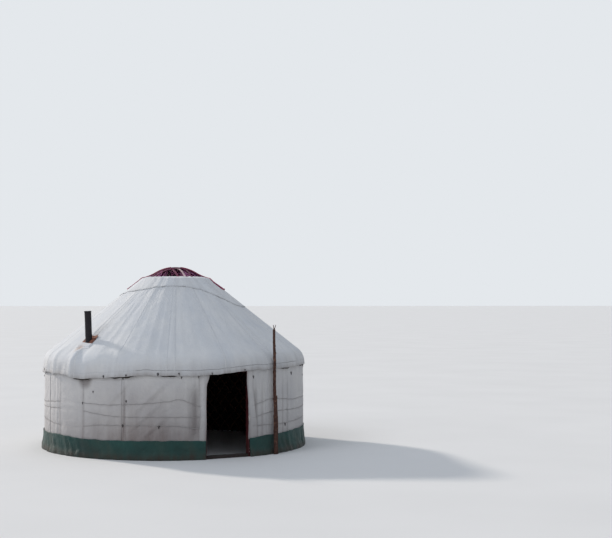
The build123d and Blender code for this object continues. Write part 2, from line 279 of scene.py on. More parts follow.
@dataclass(frozen=True)
class ClothFinish(Finish):
    """Woven cloth: threads at right angles, crumpled creases, weather, the soil that splashes up, and painted
    shade where a piece's soil or stain factor carries it.
    """

    colour: str
    shade: str
    soil_and_shade: str
    stain_and_shade: str
    weave: Weave
    roughness: float = 0.85
    crease: float = 0.5
    patch: float = 0.9
    streak: float = 0.3
    glow: float = 0.0

    def recipe(self, nodes: Nodes) -> dict:
        """Draws the cloth on its own UV map, with its soil and stain factors, which in places also carry
        painted shade.

        Args:
            nodes: The material's nodes.

        Returns:
            What feeds each input of the shader.
        """
        add = nodes.add
        uv = add("ShaderNodeUVMap", output="UV", uv_map="cloth")
        noise = {"Vector": uv, "Scale": 1.3, "Detail": 4.0, "Roughness": 0.6}
        cloudy = add("ShaderNodeTexNoise", noise, "Fac")
        patches = add("ShaderNodeMapRange", (cloudy, 0.35, 0.72, 0.0, self.patch), "Result")
        mixed = {0: patches, 6: linear(self.colour), 7: linear(self.shade)}
        colour = add("ShaderNodeMix", mixed, 2, data_type="RGBA")
        drawn = add("ShaderNodeMapping", {"Vector": uv, "Scale": (5.5, 1.0, 1.0)}, "Vector")
        streaks = add("ShaderNodeTexNoise", noise | {"Vector": drawn, "Scale": 1.0}, "Fac")
        strength = (1.0 - 1.6 * self.streak, 1.0 + 0.6 * self.streak)
        broken = add("ShaderNodeMapRange", (streaks, 0.3, 0.7, *strength), "Result")
        for factor, tint in (("soil_and_shade", self.soil_and_shade), ("stain_and_shade", self.stain_and_shade)):
            amount = add("ShaderNodeAttribute", output="Fac", attribute_name=factor)
            amount = add("ShaderNodeMath", (amount, broken), 0, operation="MULTIPLY", use_clamp=True)
            colour = add("ShaderNodeMix", {0: amount, 6: colour, 7: linear(tint)}, 2, data_type="RGBA")
        pitch = math.tau / (20.0 * self.weave.value)
        woven = {"Vector": uv, "Scale": pitch, "Distortion": 0.6, "Detail": 1.0}
        warp, weft = (add("ShaderNodeTexWave", woven, "Fac", bands_direction=axis) for axis in "XY")
        threads = add("ShaderNodeMath", (warp, weft), 0, operation="ADD")
        lit = add("ShaderNodeMapRange", (threads, 0.0, 2.0, 0.93, 1.04), "Result")
        toned = add("ShaderNodeVectorMath", {"Vector": colour, "Scale": lit}, "Vector", operation="SCALE")
        noise = noise | {"Scale": 3.2, "Roughness": 0.55, "Distortion": 0.8}
        broad = add("ShaderNodeTexNoise", noise, "Fac")
        relief = {"Height": broad, "Distance": 0.035, "Strength": self.crease}
        relief = {"Normal": add("ShaderNodeBump", relief, "Normal")}
        slant = {"Vector": uv, "Scale": (0.34, 1.0, 1.0), "Rotation": (0.0, 0.0, 0.9)}
        slant = add("ShaderNodeMapping", slant, "Vector", vector_type="TEXTURE")
        noise = noise | {"Vector": slant, "Scale": 4.0, "Detail": 3.0, "Distortion": 0.5}
        ridge = add("ShaderNodeMath", (add("ShaderNodeTexNoise", noise, "Fac"), 0.5), 0, operation="SUBTRACT")
        ridge = add("ShaderNodeMath", (ridge,), 0, operation="ABSOLUTE")
        ridge = add("ShaderNodeMapRange", (ridge, 0.0, 0.05, 1.0, 0.0), "Result")
        relief |= {"Height": ridge, "Distance": 0.0025, "Strength": 0.5 * self.crease}
        relief["Normal"] = add("ShaderNodeBump", relief, "Normal")
        relief |= {"Height": threads, "Distance": 0.0006, "Strength": 0.6}
        through = {"Subsurface Weight": self.glow, "Subsurface Scale": 0.03}
        through |= {"Subsurface Radius": (1.0, 0.8, 0.9)}
        plain = {"Roughness": self.roughness, "Specular IOR Level": 0.25, "Sheen Weight": 0.08}
        drawn = {"Base Color": toned, "Normal": add("ShaderNodeBump", relief, "Normal")}
        return plain | drawn | (through if self.glow else {})


@dataclass(frozen=True)
class WoodFinish(Finish):
    """Wood with long grain, worn paint or bark; grain counts its widest streaks to the metre each way."""

    colour: str
    dark: str
    worn: str
    wear: float
    grain: tuple[float, float, float]
    roughness: float = 0.62
    relief: float = 0.35

    def recipe(self, nodes: Nodes) -> dict:
        """Draws the wood on Object coordinates, with the grain along the piece's length.

        Args:
            nodes: The material's nodes.

        Returns:
            What feeds each input of the shader.
        """
        spot = nodes.add("ShaderNodeTexCoord", output="Object")
        drawn = nodes.add("ShaderNodeMapping", {"Vector": spot, "Scale": self.grain}, "Vector")
        noise = {"Vector": drawn, "Scale": 1.0, "Detail": 7.0, "Roughness": 0.65, "Distortion": 0.6}
        grain = nodes.add("ShaderNodeTexNoise", noise, "Fac")
        tone = nodes.add("ShaderNodeValToRGB", (grain,), "Color", ((0.34, self.dark), (0.62, self.colour)))
        rubbed = {"Vector": spot, "Scale": 14.0, "Detail": 8.0, "Roughness": 0.72}
        rubbed = nodes.add("ShaderNodeTexNoise", rubbed, "Fac")
        bare = (rubbed, 0.62 - 0.2 * self.wear, 0.70 - 0.1 * self.wear, 0.0, self.wear)
        mixed = {0: nodes.add("ShaderNodeMapRange", bare, "Result"), 6: tone, 7: linear(self.worn)}
        relief = {"Height": grain, "Distance": 0.003, "Strength": self.relief}
        return {
            "Base Color": nodes.add("ShaderNodeMix", mixed, 2, data_type="RGBA"),
            "Normal": nodes.add("ShaderNodeBump", relief, "Normal"),
            "Roughness": self.roughness,
            "Specular IOR Level": 0.35,
        }


@dataclass(frozen=True)
class MetalFinish(Finish):
    """Sheet iron under soot or rust: dull, with so many blotches to the metre and some metal left bare."""

    colour: str
    blotch: str
    edge: str
    metallic: float
    roughness: float
    blotches: float

    def recipe(self, nodes: Nodes) -> dict:
        """Draws the metal on Object coordinates.

        Args:
            nodes: The material's nodes.

        Returns:
            What feeds each input of the shader.
        """
        noise = {"Vector": nodes.add("ShaderNodeTexCoord", output="Object"), "Detail": 8.0, "Roughness": 0.7}
        cloudy = nodes.add("ShaderNodeTexNoise", noise | {"Scale": self.blotches, "Distortion": 0.4}, "Fac")
        stops = ((0.36, self.colour), (0.55, self.blotch), (0.74, self.edge))
        dull = (cloudy, 0.0, 1.0, self.roughness - 0.12, min(1.0, self.roughness + 0.12))
        pitted = nodes.add("ShaderNodeTexNoise", noise | {"Scale": 6.0 * self.blotches, "Detail": 6.0}, "Fac")
        relief = {"Height": pitted, "Distance": 0.002, "Strength": 0.5}
        return {
            "Base Color": nodes.add("ShaderNodeValToRGB", (cloudy,), "Color", stops),
            "Roughness": nodes.add("ShaderNodeMapRange", dull, "Result"),
            "Normal": nodes.add("ShaderNodeBump", relief, "Normal"),
            "Metallic": self.metallic,
        }


@dataclass(frozen=True)
class FibreFinish(Finish):
    """Twisted hair or hemp, felt and thread: matt, uneven in tone, with so many tufts to the metre."""

    colour: str
    dark: str
    tufts: float
    relief: float = 0.6

    def recipe(self, nodes: Nodes) -> dict:
        """Draws the fibres on Object coordinates.

        Args:
            nodes: The material's nodes.

        Returns:
            What feeds each input of the shader.
        """
        spot = nodes.add("ShaderNodeTexCoord", output="Object")
        hair = {"Vector": spot, "Scale": self.tufts, "Detail": 8.0, "Roughness": 0.75}
        hair = nodes.add("ShaderNodeTexNoise", hair, "Fac")
        stops = ((0.32, self.dark), (0.64, self.colour))
        relief = {"Height": hair, "Distance": 0.003, "Strength": self.relief}
        return {
            "Base Color": nodes.add("ShaderNodeValToRGB", (hair,), "Color", stops),
            "Normal": nodes.add("ShaderNodeBump", relief, "Normal"),
            "Roughness": 0.95,
            "Specular IOR Level": 0.15,
            "Sheen Weight": 0.2,
        }


@dataclass(frozen=True)
class FloorFinish(Finish):
    """The studio's matt paint, hardly uneven."""

    colour: str
    shade: str

    def recipe(self, nodes: Nodes) -> dict:
        """Draws the paint on Object coordinates.

        Args:
            nodes: The material's nodes.

        Returns:
            What feeds each input of the shader.
        """
        spot = nodes.add("ShaderNodeTexCoord", output="Object")
        cloudy = {"Vector": spot, "Scale": 0.3, "Detail": 2.0, "Roughness": 0.5}
        cloudy = nodes.add("ShaderNodeTexNoise", cloudy, "Fac")
        stops = ((0.3, self.shade), (0.7, self.colour))
        return {"Base Color": nodes.add("ShaderNodeValToRGB", (cloudy,), "Color", stops), "Roughness": 0.9}


class Look(Enum):
    """Every finish, named as its material is."""

    # Plain-woven cotton canvas, sun-bleached: flat threads give it a dry, faintly ribbed white.
    COTTON_CANVAS = ClothFinish("canvas", "E0E1E1", "CFD3D8", "8A827D", "B07A45", Weave.CANVAS)
    # The same canvas hung as a wall: rain, hands and dust make it greyer, creased and blotched.
    WEATHERED_WALL_CANVAS = ClothFinish(
        "canvas", "D0CECC", "BEBDBE", "7E7471", "5F5654", Weave.CANVAS, 0.87, 0.9, 0.9, 0.14
    )
    # Coated green tarpaulin: a smoother weave with a slight shine, and mud dried on it in streaks.
    GREEN_TARPAULIN = ClothFinish(
        "skirt_canvas", "244843", "1A3634", "35322C", "4C4A3E", Weave.TARPAULIN, 0.7, 1.0, 0.9, 0.5
    )
    # Thick wool cloth dyed maroon: matt and heavy, it lets the sky's light glow through a little.
    MAROON_WOOL_CLOTH = ClothFinish(
        "crown_cloth", "84335F", "66264A", "4A2236", "8A4868", Weave.WOOL, 0.92, glow=0.55
    )
    # The thin mauve cotton that lines it: its pale colour is partly painted glow of light from behind, and
    # its near-black stain colour paints shade in the middle.
    MAUVE_LINING_WITH_PAINTED_GLOW_AND_SHADE = ClothFinish(
        "crown_cloth", "C79ABD", "A97C9F", "6E4A64", "140D13", Weave.CANVAS, glow=0.6
    )
    # Wool braid dyed red: a bright hairy line along an edge.
    RED_WOOL_BRAID = FibreFinish("crown_cloth", "C43B62", "8A2146", 160.0)
    # Pressed sheep's wool felt, smoked by the stove: a dark, soft, uneven brown; the strip of it shown below
    # the hem is painted shade in the gap there.
    SMOKED_FELT_AND_GAP_SHADE = FibreFinish("canvas", "352C27", "1E1815", 38.0, 0.8)
    # Twisted horsehair and hemp rope, greyed by weather nearly to the cloth's own tone.
    WEATHERED_HAIR_ROPE = FibreFinish("rope", "AAA6A4", "8A8684", 210.0)
    # Unbleached horsehair cord: near black against the canvas.
    DARK_HAIR_CORD = FibreFinish("rope", "4E4747", "2C2729", 180.0)
    # Waxed linen thread: a little darker than the canvas, so that seams read as dotted lines.
    LINEN_THREAD = FibreFinish("canvas", "B4B5B7", "98999C", 300.0, 0.2)
    # Undyed cotton rag: limp, pale and grubby.
    COTTON_RAG = FibreFinish("canvas", "C9C4BE", "9E9890", 60.0)
    # Raw hide, dried hard at each lattice crossing: brown and slightly rough.
    RAWHIDE_THONG = FibreFinish("lattice_wood", "6E543A", "3E2B1C", 90.0, 0.4)
    # Peeled willow slats, rubbed with ochre: a warm red-brown, dark with smoke along the grain.
    PEELED_WILLOW = WoodFinish("lattice_wood", "6A4530", "40261B", "80604A", 0.5, (18.0, 18.0, 6.0))
    # Poles painted with red ochre: deep red, rubbed to bare wood in places.
    RED_OCHRE_POLE = WoodFinish("pole_wood", "6E2620", "421412", "80543E", 0.45, (12.0, 12.0, 12.0))
    # Steam-bent birch painted dark red: long smooth grain, bleached pink where rain reaches it.
    PAINTED_BIRCH_CROWN = WoodFinish("crown_wood", "74284A", "421430", "B58C8E", 0.5, (9.0, 9.0, 30.0))
    # Pale pink birch with a few dark flecks: the pegs' own bare wood, and on the middle crown lath a painted
    # highlight where that lath stands in the sun.
    PEG_BIRCH_AND_SUNLIT_LATH = WoodFinish("door_wood", "E2CACA", "B4959A", "8A4660", 0.3, (9.0, 9.0, 30.0))
    # Sawn pine under dark red paint: upright grain, knocked back to brown along its edges.
    PAINTED_DOOR_PINE = WoodFinish("door_wood", "4A1116", "280A0E", "5E443A", 0.4, (40.0, 40.0, 4.0))
    # Pine for the threshold: nearly black, dull and rough.
    NEAR_BLACK_THRESHOLD_PINE = WoodFinish("door_wood", "2E2624", "1A1413", "463A35", 0.5, (4.0, 40.0, 40.0), 0.8)
    # A spruce stem with its bark partly stripped: brown, deeply furrowed and patchy.
    STRIPPED_SPRUCE_BARK = WoodFinish(
        "rough_wood", "54382F", "291914", "7E5D4C", 0.6, (45.0, 45.0, 7.0), 0.9, 1.0
    )
    # Sheet iron blackened with soot: matt black with brown-grey bloom.
    SOOTY_SHEET_IRON = MetalFinish("sooty_steel", "141218", "1E1A20", "38302F", 0.35, 0.72, 16.0)
    # Sheet iron rusted through its scale: blotched orange and brown, with no shine.
    RUSTED_SHEET_IRON = MetalFinish("rusty_steel", "4E3530", "8E5A44", "B98468", 0.15, 0.86, 11.0)
    # Wrought nail heads: small, dark and faintly shiny.
    IRON_NAIL = MetalFinish("rusty_steel", "3A3230", "57403A", "7A5448", 0.7, 0.6, 120.0)
    # Matt white paint: a plain pale ground that only takes shadows.
    MATT_STUDIO_FLOOR = FloorFinish("", "E3E3E2", "DFDFDE")

    @property
    def material(self) -> bpy.types.Material:
        """The finish's material, made the first time that it is asked for."""
        name = self.name.lower()
        return bpy.data.materials.get(name) or self.value.make(name)


def link(name: str, data: bpy.types.ID) -> Piece:
    """Puts an object in the scene.

    Args:
        name: The object's name.
        data: Its mesh, lamp or camera.

    Returns:
        The object.
    """
    piece = bpy.data.objects.new(name, data)
    bpy.context.scene.collection.objects.link(piece)
    return piece


def mesh_piece(name: str, points: Grid, faces: Sequence[Sequence[int]], look: Look) -> Piece:
    """Makes an object from points and faces, shaded smooth.

    Args:
        name: The piece's name.
        points: Rows of x, y, z in metres.
        faces: Rows of point numbers, outwards by the right-hand rule.
        look: The piece's finish.

    Returns:
        The object, linked to the scene.
    """
    mesh = bpy.data.meshes.new(name)
    mesh.from_pydata(np.asarray(points, float).tolist(), [], faces)
    mesh.polygons.foreach_set("use_smooth", [True] * len(mesh.polygons))
    mesh.materials.append(look.material)
    return link(name, mesh)


def settle(piece: Piece) -> Piece:
    """Applies every modifier of a piece, so that a plain mesh is left.

    Args:
        piece: A mesh object.

    Returns:
        The same object with its final mesh.
    """
    bpy.context.view_layer.update()
    evaluated = piece.evaluated_get(bpy.context.evaluated_depsgraph_get())
    mesh = bpy.data.meshes.new_from_object(evaluated)
    piece.modifiers.clear()
    old = piece.data
    piece.data = mesh
    mesh.name = piece.name
    bpy.data.meshes.remove(old)
    return piece


def reshape(mesh: bpy.types.Mesh, change: Callable[[bmesh.types.BMesh], object]) -> None:
    """Changes a mesh's corners and faces.

    Args:
        mesh: The mesh.
        change: What is done to it.
    """
    solid = bmesh.new()
    solid.from_mesh(mesh)
    change(solid)
    solid.to_mesh(mesh)
    solid.free()


def hand_over(piece: Piece, look: Look, nodes: Sequence[str] = (), **sheet: object) -> None:
    """Attaches a finished piece to the root body, hides the frame's nodes that it stands for and logs its
    faces.

    Args:
        piece: The piece.
        look: Its main finish. Not used.
        nodes: The frame's nodes that it stands for.
        sheet: The flat size and the rest of what is said of a sheet. Not used.
    """
    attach(piece, "root")
    if nodes:
        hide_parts(*nodes)
    log.info("%s: %d faces", piece.name, len(piece.data.polygons))


def make_sheet(
    name: str,
    points: Grid,
    texture: tuple[Grid, Grid],
    looks: tuple[Look, ...],
    thickness: float,
    marks: dict[str, Grid] | None = None,
    closed: bool = False,
    keep: Grid | None = None,
) -> Piece:
    """Makes cloth or sheet iron from rows of points that rise, with columns that run with the bearing.

    Args:
        name: The piece's name.
        points: Rows by columns by x, y, z of the outer side.
        texture: The sheet's own two lengths at each point, in metres.
        looks: The outer side's finish, and the inner side's where it differs.
        thickness: Metres, inwards from the points, or 0 for a strip that lies on another cloth.
        marks: Factors from 0 to 1 at each point, by their names.
        closed: Whether the last column is the first one again.
        keep: Rows by columns of cells that are kept, where some are cut away.

    Returns:
        The sheet, with its UV map named cloth.
    """
    rows, columns = points.shape[:2]
    texture = np.stack(np.broadcast_arrays(*texture, points[..., 0])[:2], axis=-1)
    row, column = np.mgrid[: rows - 1, : columns - 1]
    kept = np.ones_like(row, bool) if keep is None else keep
    corners = [(row[kept] + up, column[kept] + on) for up, on in ((0, 0), (0, 1), (1, 1), (1, 0))]
    uv = np.stack([texture[corner] for corner in corners], axis=-2)
    columns -= closed
    faces = np.stack([up * columns + on % columns for up, on in corners], axis=-1)
    used, faces = np.unique(faces, return_inverse=True)
    spots = points[:, :columns].reshape(-1, 3)[used]
    piece = mesh_piece(name, spots, faces.reshape(-1, 4).tolist(), looks[0])
    piece.data.uv_layers.new(name="cloth").data.foreach_set("uv", uv.astype(np.float32).ravel())
    for label, values in (marks or {}).items():
        values = np.broadcast_to(values, points.shape[:2])[:, :columns].ravel()[used]
        attribute = piece.data.attributes.new(label, "FLOAT", "POINT")
        attribute.data.foreach_set("value", np.clip(values, 0.0, 1.0).astype(np.float32))
    for look in looks[1:]:
        piece.data.materials.append(look.material)
    if thickness:
        wall = piece.modifiers.new("thickness", "SOLIDIFY")
        wall.thickness = thickness
        wall.offset = -1.0
        wall.use_even_offset = False
        wall.material_offset = len(looks) - 1
    return settle(piece)


class Profile(NamedTuple):
    """Points along the roof's outer side, each with the lean of its outward normal above level."""

    run: Grid
    radius: Grid
    height: Grid
    lean: Grid


@dataclass(frozen=True)
class Shell:
    """The yurt's driving sizes that the cloth and the ropes follow, in metres and degrees."""

    wall_radius: float = 2.742
    hem_radius: float = 2.787
    hem_height: float = 1.6
    hem_lean: float = 5.9
    hem_reach: float = 0.34
    shoulder: float = 0.345
    slope: float = 38.0
    crown_radius: float = 0.715
    crown_height: float = 3.53563
    opening_radius: float = 0.578
    ring_rise: float = 0.033
    pole_pitch: float = TURN / 68
    diamond_height: float = 0.296
    door_bearing: float = 10.45

    @cached_property
    def line(self) -> Profile:
        """The roof's line from low on the hem, round the shoulder and up to the crown's opening.

        Returns:
            The line, its run measured from the shoulder's start.
        """
        low, slope = math.radians(self.hem_lean), math.radians(self.slope)
        high = math.pi / 2 - slope
        k, m = math.tan(low), math.tan(slope)
        rise = self.crown_height + (self.crown_radius - self.hem_radius - self.hem_height * k) * m
        corner_height = rise / (1 - k * m)
        corner_radius = self.hem_radius - (corner_height - self.hem_height) * k
        reach = self.shoulder * math.tan((high - low) / 2)
        radius = corner_radius + reach * math.sin(low)
        height = corner_height - reach * math.cos(low)
        hem = np.linspace(-self.hem_reach, 0.0, 30)[:-1]
        parts = [(hem, radius - hem * math.sin(low), height + hem * math.cos(low), low)]
        bend = np.linspace(low, high, 24)
        middle = radius - self.shoulder * math.cos(low)
        level = height - self.shoulder * math.sin(low)
        turned = (middle + self.shoulder * np.cos(bend), level + self.shoulder * np.sin(bend))
        parts.append(((bend - low) * self.shoulder, *turned, bend))
        run, radius, height = (values[-1] for values in parts[-1][:3])
        climb = np.linspace(0.0, (radius - self.crown_radius) / math.cos(slope), 60)[1:]
        parts.append((run + climb, radius - climb * math.cos(slope), height + climb * math.sin(slope), high))
        run, radius, height = (values[-1] for values in parts[-1][:3])
        width = self.crown_radius - self.opening_radius
        ring = np.linspace(0.25, 1.0, 4)
        tilt = math.atan2(width, self.ring_rise)
        parts.append((run + ring * width, radius - ring * width, height + ring * self.ring_rise, tilt))
        return Profile(*np.concatenate([np.stack(np.broadcast_arrays(*part)) for part in parts], axis=1))

    def run_at_radius(self, radius: Grid) -> Grid:
        """Run along the roof's line at a distance from the middle."""
        return np.interp(-np.asarray(radius, float), -self.line.radius, self.line.run)

    def run_at_height(self, height: Grid) -> Grid:
        """Run along the roof's line at a height."""
        return np.interp(height, self.line.height, self.line.run)


@dataclass(frozen=True)
class RoofCover:
    """One continuous canvas over the poles, its hem hanging past the eave."""

    shell: Shell
    thickness: float = 0.004
    columns_per_pole: int = 6
    hem_band: float = 0.112
    band_step: float = 0.0028
    pole_sag: float = 0.0055
    pipe_bearing: float = -68.824
    pipe_radius: float = 2.360
    pipe_hole: float = 0.088
    liner_size: tuple[float, float] = (17.4, 0.08)
    # Height of the hem's lower edge: low beside the pipe, high by the doorway.
    hem_line: RoundLine = RoundLine(
        (
            (-180.0, 1.60), (-140.0, 1.59), (-112.0, 1.575), (-102.0, 1.568), (-96.0, 1.590), (-89.5, 1.618),
            (-84.0, 1.590), (-81.0, 1.598), (-73.0, 1.594), (-69.8, 1.546), (-67.0, 1.535), (-62.4, 1.527),
            (-57.0, 1.552), (-52.0, 1.566), (-43.5, 1.588), (-35.3, 1.626), (-27.5, 1.618), (-12.0, 1.612),
            (-1.7, 1.642), (9.6, 1.692), (20.3, 1.690), (34.5, 1.706), (49.2, 1.722), (90.0, 1.700),
            (130.0, 1.660), (180.0, 1.60),
        ),
        low=-180.0,
        soften=(-1.0, 0.0, 1.0),
    )
    # Humps and hollows, by bearing and height, where the pipe and the shoulder push the canvas.
    folds: tuple[Fold, ...] = (
        Fold((-67.6, 2.16), (-69.8, 1.62), 0.075, 0.050),
        Fold((-75.8, 2.10), (-76.8, 1.60), 0.080, -0.034),
        Fold((-83.5, 2.12), (-83.0, 1.58), 0.070, 0.030),
        Fold((-88.0, 2.02), (-88.5, 1.60), 0.060, -0.022),
        Fold((-64.2, 1.98), (-65.4, 1.58), 0.055, -0.026),
        Fold((-60.0, 2.16), (-54.0, 1.86), 0.240, 0.038),
        Fold((-50.0, 2.14), (-44.6, 1.98), 0.070, 0.026),
        Fold((-48.6, 2.02), (-43.4, 1.84), 0.030, -0.008),
        Fold((-43.0, 2.02), (-48.0, 1.84), 0.030, -0.008),
        Fold((22.5, 2.00), (22.5, 1.50), 0.060, -0.030),
        Fold((26.0, 2.25), (33.0, 1.84), 0.090, 0.012),
        Fold((38.0, 2.30), (44.0, 1.86), 0.110, 0.014),
        Fold((-12.0, 1.98), (-2.0, 1.78), 0.080, 0.008),
        Fold((112.0, 2.20), (117.0, 1.64), 0.100, 0.024),
        Fold((141.0, 2.16), (138.0, 1.62), 0.080, 0.026),
        Fold((147.0, 2.05), (146.0, 1.60), 0.060, -0.018),
        Fold((-158.0, 2.20), (-153.0, 1.62), 0.090, 0.026),
        Fold((-118.0, 2.16), (-121.0, 1.60), 0.080, 0.024),
        Fold((-124.0, 2.05), (-126.0, 1.60), 0.060, -0.018),
    )
    # Bearings where the dark felt shows under the hem as a band of painted shade in the gap there, and half
    # the width of each place in degrees.
    shade_gap_felt_bearings: tuple[tuple[float, float], ...] = (
        (-63.0, 6.5), (-43.5, 8.0), (-24.5, 4.5), (31.5, 4.5), (52.0, 8.0), (120.0, 9.0), (-150.0, 7.0),
    )

    def edge_height(self, bearing: Grid) -> Grid:
        """Height of the hem's lower edge at each bearing."""
        return self.hem_line.at(bearing) + 0.004 * ripple(np.asarray(bearing), 11, (31, 47, 68))

    def surface(self, bearing: Grid, run: Grid, lift: Grid | float = 0.0) -> Grid:
        """Points of the canvas's outer side.

        Args:
            bearing: Degrees round the yurt.
            run: Metres along the profile from the shoulder's start.
            lift: Metres outwards from the canvas.

        Returns:
            Points with x, y and z on the last axis.
        """
        line = self.shell.line
        bearing, run = np.broadcast_arrays(np.asarray(bearing, float), np.asarray(run, float))
        radius, height, lean = (np.interp(run, line.run, values) for values in line[1:])
        phase = (bearing / self.shell.pole_pitch - 0.5) % 1.0
        on_poles = rising(run, -0.02, 0.25) * falling(radius, 1.0, 2.75)
        spread = (0.25 + 0.75 * rising(radius, 0.8, 2.6)) * rising(run, 0.05, 0.4)
        above = height - self.edge_height(bearing)
        push = -self.pole_sag * np.sin(math.pi * phase) * spread
        push = push + 0.008 * ripple(bearing, 3, (5, 9, 14)) * rising(radius, 0.9, 2.2)
        push = push + 0.004 * on_poles * ripple(bearing, 5, (19, 27, 33))
        push = push + falling(above, 0.0, 0.36) * (0.006 * ripple(bearing, 7, (17, 26, 41)) + 0.002)
        push = push + self.band_step * falling(above, self.hem_band - 0.008, self.hem_band)
        across = ring_gap(bearing, self.pipe_bearing) * math.radians(1.0) * self.pipe_radius
        calm = rising(np.hypot(across, run - self.shell.run_at_radius(self.pipe_radius)), 0.19, 0.34)
        push = push * calm
        for fold in self.folds:
            ends = ((spot, self.shell.run_at_height(level)) for spot, level in (fold.start, fold.end))
            push = push + calm * Fold(*ends, fold.width, fold.depth).lift(bearing, run, radius)
        dip = 0.0015 + 0.014 * np.sin(math.pi * phase) * spread + 0.02 * falling(run, -0.12, 0.06)
        push = np.maximum(push, -dip) + lift
        return place(bearing, radius + push * np.cos(lean), height + push * np.sin(lean))

    def weather(self, points: Grid) -> dict[str, Grid]:
        """Says where rain has left soil and where the plate has bled rust.

        Args:
            points: Points of the canvas or of a strip on it.

        Returns:
            The soil and stain factors.
        """
        bearing, height = polar(points)
        above = height - self.edge_height(bearing)
        soil_and_shade = 0.36 * falling(above, 0.0, 0.46) + 0.28 * falling(above, 0.0, 0.1)
        away = np.linalg.norm(points - place(self.pipe_bearing - 1.6, 2.53, 2.09), axis=-1)
        return {"soil_and_shade": soil_and_shade + 0.12 * rising(height, 3.2, 3.45) + 0.06, "stain_and_shade": 0.6 * bell(away, 0.085)}

    def canvas(self) -> None:
        """Makes the canvas with the hole for the pipe."""
        shell, per_pole = self.shell, self.columns_per_pole
        count = round(TURN / shell.pole_pitch) * per_pole
        bearing = shell.pole_pitch * (0.5 + np.arange(count + 1) / per_pole)
        hem = np.array([0.0, 0.04, 0.12, 0.22, 0.32, 0.36, 0.44, 0.55, 0.66, 0.78, 0.89])[:, None]
        upper = shell.line.run[shell.line.run >= -1e-9]
        upper = np.concatenate([upper[:24:2], upper[24:]])[:, None]
        edge = shell.run_at_height(self.edge_height(bearing))
        run = np.concatenate([edge * (1.0 - hem), upper + 0.0 * bearing])
        across = np.broadcast_to(bearing, run.shape)
        texture = (np.radians(across) * shell.hem_radius, run)
        axis = place(self.pipe_bearing, self.pipe_radius, 0.0)[:2]
        flat = place(across, np.interp(run, shell.line.run, shell.line.radius), run)[..., :2] - axis
        away = np.linalg.norm(flat, axis=-1)
        inside = away < self.pipe_hole
        keep = ~(inside[:-1, :-1] & inside[:-1, 1:] & inside[1:, :-1] & inside[1:, 1:])
        x, y = np.moveaxis(axis + flat * (self.pipe_hole / np.maximum(away, 1e-6))[..., None], -1, 0)
        across = np.where(inside, np.degrees(np.arctan2(x, -y)), across)
        points = self.surface(across, np.where(inside, shell.run_at_radius(np.hypot(x, y)), run))
        looks = (Look.COTTON_CANVAS, Look.SMOKED_FELT_AND_GAP_SHADE)
        marks = self.weather(points)
        piece = make_sheet("roof_canvas", points, texture, looks, self.thickness, marks, True, keep)
        width = 2 * (shell.hem_radius / math.cos(math.radians(shell.slope)) + 0.35)
        nodes = [f"roof_gore_{number}" for number in range(1, 9)]
        sheet = {"held": "stretched", "area": 0.58 * width**2, "rests_on": ["crown_ring"]}
        hand_over(piece, looks[0], nodes, flat=(width, width), **sheet)

    def gap_shade_liner(self) -> None:
        """Makes the dark felt strip under the canvas, shown below the hem at the listed bearings as painted
        shade in the gap under the hem.
        """
        bearing = np.linspace(0.0, TURN, 721)[None, :]
        share = np.linspace(0.0, 1.0, 6)[:, None]
        gaps = ((np.abs(ring_gap(bearing, middle)), reach) for middle, reach in self.shade_gap_felt_bearings)
        shown = sum(falling(gap, 0.35 * reach, reach) for gap, reach in gaps)
        edge = self.edge_height(bearing)
        foot = edge + 0.012 - 0.034 * shown * (1.0 + 0.2 * ripple(bearing, 15, (57, 83)))
        height = foot + (edge + 0.07 - foot) * share
        lift = -0.0095 - 0.006 * (1.0 - share) * (1.0 - shown)
        points = self.surface(bearing, self.shell.run_at_height(height), lift)
        texture = (np.radians(bearing) * self.shell.hem_radius, height)
        looks = (Look.SMOKED_FELT_AND_GAP_SHADE,)
        piece = make_sheet("felt_liner_gap_shade", points, texture, looks, self.thickness, closed=True)
        hand_over(piece, looks[0], flat=self.liner_size, held="hung", rests_on=["wall"])


